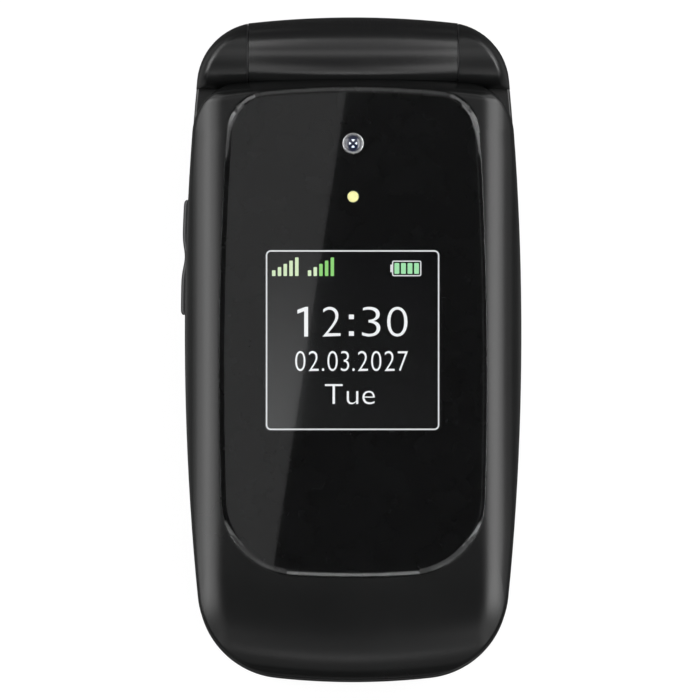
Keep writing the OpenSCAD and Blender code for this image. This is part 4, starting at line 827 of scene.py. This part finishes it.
frame_line = cut(
    plate("display_frame_line", FRAME_W, FRAME_H, 0.8, *GLOW, FRAME_AT),
    plate("inside", FRAME_W - 2 * FRAME_LINE, FRAME_H - 2 * FRAME_LINE, 0.57, 16, 18, FRAME_AT))
dress(frame_line, "lid", LIT_FRAME)
rows = []
for text, area, gap, weight in (
        ("1", (297.6, 307, 308.2, 336.6), 0, 0), ("2", (322.7, 307, 340.6, 336.6), 0, -0.016),
        (":", (348.9, 314.7, 353.9, 335.9), 0, 0), ("3", (362, 307, 380.2, 336.6), 0, -0.016),
        ("0", (387, 307, 407.3, 336.6), 0, -0.016),
        ("02.03.2027", (295.4, 351, 407.7, 371), 0.13, -0.012),
        ("Tue", (325, 384, 374.7, 404), 0.13, -0.012)):
    low, high = on_picture(*area)
    rows.append(letters(text, low, high, GLOW[0], GLOW[1] - GLOW[0], weight, gap))
dress(merged("display_clock", rows), "lid", LIT_WHITE)


def signal_bars(x0, x1):
    (left, low), (right, high) = on_picture(x0, 257.8, x1, 276.3)
    pitch = (right - left) / 4.6
    bars = []
    for i in range(5):
        h = (high - low) * (0.31 + 0.1725 * i)
        bars.append(glow_plate(pitch * 0.6, h, 0.08, (left + pitch * (i + 0.3), low + h / 2)))
    return bars


bars = signal_bars(272.3, 298.7) + signal_bars(308, 334.1)
dress(merged("display_signal_pale", bars[:7]), "lid", LIT_PALE)
dress(merged("display_signal_green", bars[7:]), "lid", LIT_GREEN)
(left, low), (right, high) = on_picture(390.2, 260.9, 421.1, 276.5)
nub, line = 0.27, 0.18
mid = ((left + nub + right) / 2, (low + high) / 2)
shell = cut(glow_plate(right - left - nub, high - low, 0.3, mid),
            plate("inside", right - left - nub - 2 * line, high - low - 2 * line, 0.14, 16, 18, mid))
tip = glow_plate(nub, (high - low) * 0.5, 0.1, (left + nub / 2, mid[1]))
dress(merged("display_charge_outline", [shell, tip]), "lid", LIT_FRAME)
cell = (right - left - nub - 2 * line - 0.12) / 4
cells = [glow_plate(cell * 0.74, high - low - 0.75, 0.12, (mid[0] + cell * (i - 1.5), mid[1]))
         for i in range(4)]
dress(merged("display_charge_cells", cells), "lid", LIT_MINT)

# ---- Camera and flash ----
ring_wall = [(1.27, 17.7), (1.65, 17.7), (1.65, 18.86)]
ring_wall += soft_corner(1.65, 18.83, 0.12, 0.12, n=5) + [(1.4, 18.94), (1.27, 18.8)]
bezel = turned("camera_bezel", ring_wall, upright(0, CAMERA_Y), 96)
dress(bezel, "lid", RING_METAL, ["camera_ring"])
lens_profile = [(0, 17.72), (1.22, 17.72), (1.22, 18.42), (0.9, 18.53), (0.45, 18.59), (0, 18.6)]
lens = turned("camera_glass", lens_profile, upright(0, CAMERA_Y))
dress(lens, "lid", LENS, ["camera_lens"])
# Painted glints: four pale wedges on the lens dome stand in for the reflections of the lamps in the lens
painted_glint_wedges = []
for turn, reach, width in ((90, 0.62, 0.3), (270, 0.62, 0.3), (0, 0.6, 0.24), (180, 0.6, 0.24)):
    wedge = [(reach - 0.36, 0), (reach, -width), (reach + 0.04, 0), (reach, width)]
    painted_glint_wedges.append(prism("painted_glint_wedge", spun(wedge, turn, 0, CAMERA_Y), 18.5, 18.62))
dress(merged("camera_painted_glints", painted_glint_wedges), "lid", PAINTED_GLINT_MAT)

flash_profile = [(0, 16.2), (0.88, 16.2), (0.88, 18.8), (0.86, 18.9), (0.8, 18.93), (0.74, 18.9),
                 (0.7, 18.84), (0.5, 18.88), (0.3, 18.9), (0, 18.91)]
dome = turned("flash_dome", flash_profile, upright(0, FLASH_Y), 64)
dress(dome, "lid", FLASH, ["flash_lens"])

# ---- Inner window and the large display ----
inner_glass = loft("inner_glass", [
    [(x, y + SCREEN_MID, z) for x, y in rounded(43.4 - 2 * d, 66 - 2 * d, 4 - d, 12)] for d, z in (
        (0.25, 10.65), (0.16, 10.67), (0.08, 10.72), (0.02, 10.81), (0, 10.9), (0, 11.34), (0.06, 11.4))])
dress(inner_glass, "lid", GLASS, ["inner_window"])
inner_film = cut(plate("inner_print", 43.2, 65.8, 3.9, 11.405, 11.44, (0, SCREEN_MID), n=12),
                 plate("opening", 36.6, 49.2, 0.6, 11, 12, (0, SCREEN_MID)),
                 plate("earpiece", 9, 1.4, 0.69, 11, 12, (0, -44)))
dress(inner_film, "lid", PRINT)

# The large display shows the same marks, readable with the lid open
INNER_GLOW, INNER_THICK = 11.412, 0.012


def face_down(piece):
    """Turns a piece drawn about (0, 0) over, onto the large display."""
    for v in piece.data.vertices:
        x, y, z = v.co / MM
        v.co = Vector((x, SCREEN_MID - y, z)) * MM
    piece.data.flip_normals()
    return piece


wallpaper = plate("main_display_backdrop", 36.4, 49, 0.5, 11.43, 11.442, (0, SCREEN_MID))
dress(wallpaper, "lid", LIT_BLUE)
lines = [letters(text, low, high, INNER_GLOW, INNER_THICK, -0.014, gap) for text, low, high, gap in (
    ("12:30", (-12.5, 4.5), (12.5, 12.5), 0.2), ("02.03.2027", (-9.6, -1.6), (9.6, 1.8), 0.13),
    ("Tue", (-4.2, -7.6), (4.2, -4.2), 0.13))]
dress(face_down(merged("main_display_clock", lines)), "lid", LIT_WHITE)
inner_span = (INNER_GLOW, INNER_GLOW + INNER_THICK)
marks = [plate("bar", 0.6, 0.6 + 0.4 * i, 0.1, *inner_span, (-16 + i, 21.1 + 0.2 * i), n=4)
         for i in range(5)]
marks += [plate("cell", 0.8, 2.0, 0.12, *inner_span, (12.4 + 1.1 * i, 21.9), n=4) for i in range(4)]
dress(face_down(merged("main_display_marks", marks)), "lid", LIT_PALE)
shell = cut(plate("case", 5.2, 2.8, 0.35, *inner_span, (14.05, 21.9), n=4),
            plate("inside", 4.8, 2.4, 0.2, 11, 12, (14.05, 21.9)))
dress(face_down(merged("main_display_case", [shell])), "lid", LIT_FRAME)

# ---- The nodes that keep their own meshes ----
KEPT = {
    STEEL: ["shield_cans", "card_holders", "usb_port", "vibration_motor", "hinge_head", "base_screws",
            "lid_screws", "lid_magnet", "hinge_can", "hinge_spring", "hinge_cam", "earpiece"],
    GOLD: ["battery_contacts", "keypad_domes", "antenna"],
    BOARD: ["main_board", "lid_board"],
    BLACK_PART: ["audio_jack", "loudspeaker", "camera_module", "nav_web"],
    MEMBRANE: ["keypad_membrane"],
    BUMPER: ["lid_screw_caps"],
    FLEX: ["lid_flex", "base_flex"],
    BATTERY: ["battery"],
    BEARING: ["hinge_bush"],
    PANEL: ["outer_display", "main_display"],
}
for mat, names in KEPT.items():
    for name in names:
        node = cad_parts[name]
        node.data.materials.clear()
        node.data.materials.append(mat)

# ---- Floor, lights and camera ----
def square(half):
    """The corners of a square about the origin, anticlockwise."""
    return [(-half, -half), (half, -half), (half, half), (-half, half)]


def seen_directly(tree):
    """A socket that is 1 for camera, mirror and glass rays and 0 for the light that falls on things."""
    path = tree.nodes.new("ShaderNodeLightPath")
    total = path.outputs["Is Camera Ray"]
    for kind in ("Is Glossy Ray", "Is Transmission Ray"):
        add = tree.nodes.new("ShaderNodeMath")
        add.operation, add.use_clamp = "ADD", True
        tree.links.new(total, add.inputs[0])
        tree.links.new(path.outputs[kind], add.inputs[1])
        total = add.outputs[0]
    return total


def emission(name, strength, base, part=0.85):
    """A surface of the given base colour, most of which camera, mirror and glass rays see at a fixed
    strength. The rest of it keeps the shadows."""
    mat = bpy.data.materials.new(name)
    mat.use_nodes = True
    nodes, links = mat.node_tree.nodes, mat.node_tree.links
    nodes.clear()
    out = nodes.new("ShaderNodeOutputMaterial")
    blend = nodes.new("ShaderNodeMixShader")
    matte = nodes.new("ShaderNodeBsdfDiffuse")
    matte.inputs["Color"].default_value = (*base, 1)
    light = nodes.new("ShaderNodeEmission")
    light.inputs["Strength"].default_value = strength
    share = nodes.new("ShaderNodeMath")
    share.operation = "MULTIPLY"
    share.inputs[1].default_value = part
    links.new(seen_directly(mat.node_tree), share.inputs[0])
    links.new(share.outputs[0], blend.inputs["Fac"])
    links.new(matte.outputs[0], blend.inputs[1])
    links.new(light.outputs[0], blend.inputs[2])
    links.new(blend.outputs[0], out.inputs["Surface"])
    return mat


FLOOR_HALF, FLOOR_Z = 4000, -0.05
floor = build("floor", [(x, y, FLOOR_Z) for x, y in square(FLOOR_HALF)], [(0, 1, 2, 3)])
floor.data.materials.append(emission("floor_white", 1.05, (0.9, 0.9, 0.9)))

world = bpy.data.worlds.new("studio")
scene.world = world
world.use_nodes = True
WORLD_LIGHT, WORLD_SEEN = 0.15, 1.0
nodes, links = world.node_tree.nodes, world.node_tree.links
backdrop = nodes["Background"]
backdrop.inputs["Color"].default_value = (1, 1, 1, 1)
level = nodes.new("ShaderNodeMapRange")
level.inputs["To Min"].default_value = WORLD_LIGHT
level.inputs["To Max"].default_value = WORLD_SEEN
links.new(seen_directly(world.node_tree), level.inputs["Value"])
links.new(level.outputs["Result"], backdrop.inputs["Strength"])


def soft_box(name, azimuth, tilt, distance, width, length, radiance):
    """A soft box that looks at the phone, at tilt degrees from straight above (metres)."""
    lamp = bpy.data.lights.new(name, "AREA")
    lamp.shape, lamp.size, lamp.size_y = "RECTANGLE", width, length
    lamp.energy = radiance * math.pi * width * length
    obj = bpy.data.objects.new(name, lamp)
    a, t = math.radians(azimuth), math.radians(tilt)
    spot = Vector((math.sin(t) * math.cos(a), math.sin(t) * math.sin(a), math.cos(t)))
    obj.location = spot * distance + Vector((0, 0, 0.012))
    obj.rotation_euler = spot.to_track_quat("Z", "Y").to_euler()
    obj.visible_camera = False
    scene.collection.objects.link(obj)
    return obj


for name, *placing in (
        ("left_upper", 175, 38, 0.75, 0.64, 0.5, 1.05), ("left_mid", 175, 46, 0.75, 0.64, 0.5, 0.65),
        ("left_inner", 175, 36, 0.75, 0.64, 0.3, 0.62), ("left_lower", 175, 58, 0.75, 0.64, 0.5, 1.4),
        ("left_core", 175, 52, 0.75, 0.64, 0.3, 0.3), ("left_edge", 175, 80, 0.75, 0.64, 0.4, 0.7),
        ("right_inner", 5, 33, 0.75, 0.64, 0.3, 1.4), ("right_upper", 5, 38.5, 0.75, 0.64, 0.5, 2.3),
        ("right_lower", 5, 62, 0.75, 0.64, 0.7, 0.5),
        ("left_rear", 136, 54, 0.75, 0.6, 0.5, 0.9), ("right_rear", 44, 54, 0.75, 0.6, 0.5, 0.95),
        ("left_rear_low", 138, 82, 0.75, 0.7, 0.6, 1.0), ("right_rear_low", 42, 82, 0.75, 0.7, 0.6, 1.1),
        ("left_front", 222, 44, 0.75, 0.6, 0.5, 0.55), ("right_front", 318, 44, 0.75, 0.6, 0.5, 0.9),
        ("left_rear_strip", 126, 49.7, 0.831, 0.7, 0.03, 2.4),
        ("hinge_end_strip", 90, 49.7, 0.831, 0.4, 0.03, 0.8),
        ("right_rear_strip", 54, 49.7, 0.831, 0.7, 0.03, 1.6),
        ("free_end_strip", 270, 49.5, 0.831, 0.2, 0.03, 3.2),
        ("hinge_end", 90, 15, 0.8, 0.8, 0.3, 0.27), ("hinge_end_low", 90, 42, 0.8, 0.8, 0.4, 0.32),
        ("hinge_end_near", 90, 17, 0.3, 0.24, 0.07, 0.34),
        ("free_end", 270, 42, 0.8, 0.8, 0.3, 0.14), ("free_end_low", 270, 60, 0.8, 0.8, 0.5, 0.27)):
    soft_box(name, *placing)


def flag(name, points, faces, strength):
    """A dim panel round the phone that only mirror and glass rays see: it shapes the reflections."""
    obj = build(name, points, faces)
    mat = bpy.data.materials.new(name)
    mat.use_nodes = True
    nodes = mat.node_tree.nodes
    nodes.clear()
    light = nodes.new("ShaderNodeEmission")
    light.inputs["Strength"].default_value = strength
    mat.node_tree.links.new(light.outputs[0], nodes.new("ShaderNodeOutputMaterial").inputs["Surface"])
    obj.data.materials.append(mat)
    obj.visible_camera = obj.visible_diffuse = obj.visible_shadow = False
    return obj


def card(name, points, z, strength):
    """A flat panel through the given points at the height z."""
    return flag(name, [(x, y, z) for x, y in points], [tuple(range(len(points)))], strength)


TENT, MAT, MAT_Z = 1000, 900, -0.02
tent = [(x, y, z) for z in (0, TENT) for x, y in square(TENT)]
flag("tent", tent, [(4, 5, 6, 7), (0, 1, 5, 4), (1, 2, 6, 5), (2, 3, 7, 6), (3, 0, 4, 7)], 0.045)
for name, x0, x1, strength in (
        ("left_mat", -MAT, -32, 0.26), ("mat", -32, 32, 0.06), ("right_mat", 32, MAT, 0.2)):
    card(name, [(x0, -MAT), (x1, -MAT), (x1, MAT), (x0, MAT)], MAT_Z, strength)

# The line between the two cards is mirrored in the window from the top to the lower left
CARD_Z, CAMERA_X, CAMERA_Z = 600.0, -0.485, 2010.0
spread = 1 + (CARD_Z - LID_TOP) / (CAMERA_Z - LID_TOP)
(x0, y0), _ = on_picture(347, 94, 347, 94)
(x1, y1), _ = on_picture(274.4, 565.5, 274.4, 565.5)
slope = (x1 - x0) / (y1 - y0)
half_l, half_w = 46, 32
high, low = (x0 + slope * (half_l - y0)) * spread, (x0 + slope * (-half_l - y0)) * spread
top, wide = half_l * spread, half_w * spread
card("bright_card", [(-wide, -top), (low, -top), (high, top), (-wide, top)], CARD_Z, 0.34)
card("dark_card", [(low, -top), (wide, -top), (wide, top), (high, top)], CARD_Z, 0.04)

# The picture is VIEW_WIDTH across at the height VIEW_Z
SENSOR, VIEW_WIDTH, VIEW_Z = 36, 109.56, 10
camera = bpy.data.objects.new("camera", bpy.data.cameras.new("camera"))
camera.data.sensor_width = SENSOR
camera.data.lens = SENSOR * (CAMERA_Z - VIEW_Z) / VIEW_WIDTH
camera.data.clip_end = 20
camera.location = (CAMERA_X * MM, 0, CAMERA_Z * MM)
scene.collection.objects.link(camera)
scene.camera = camera

scene.view_settings.view_transform = "Standard"

bpy.context.view_layer.update()
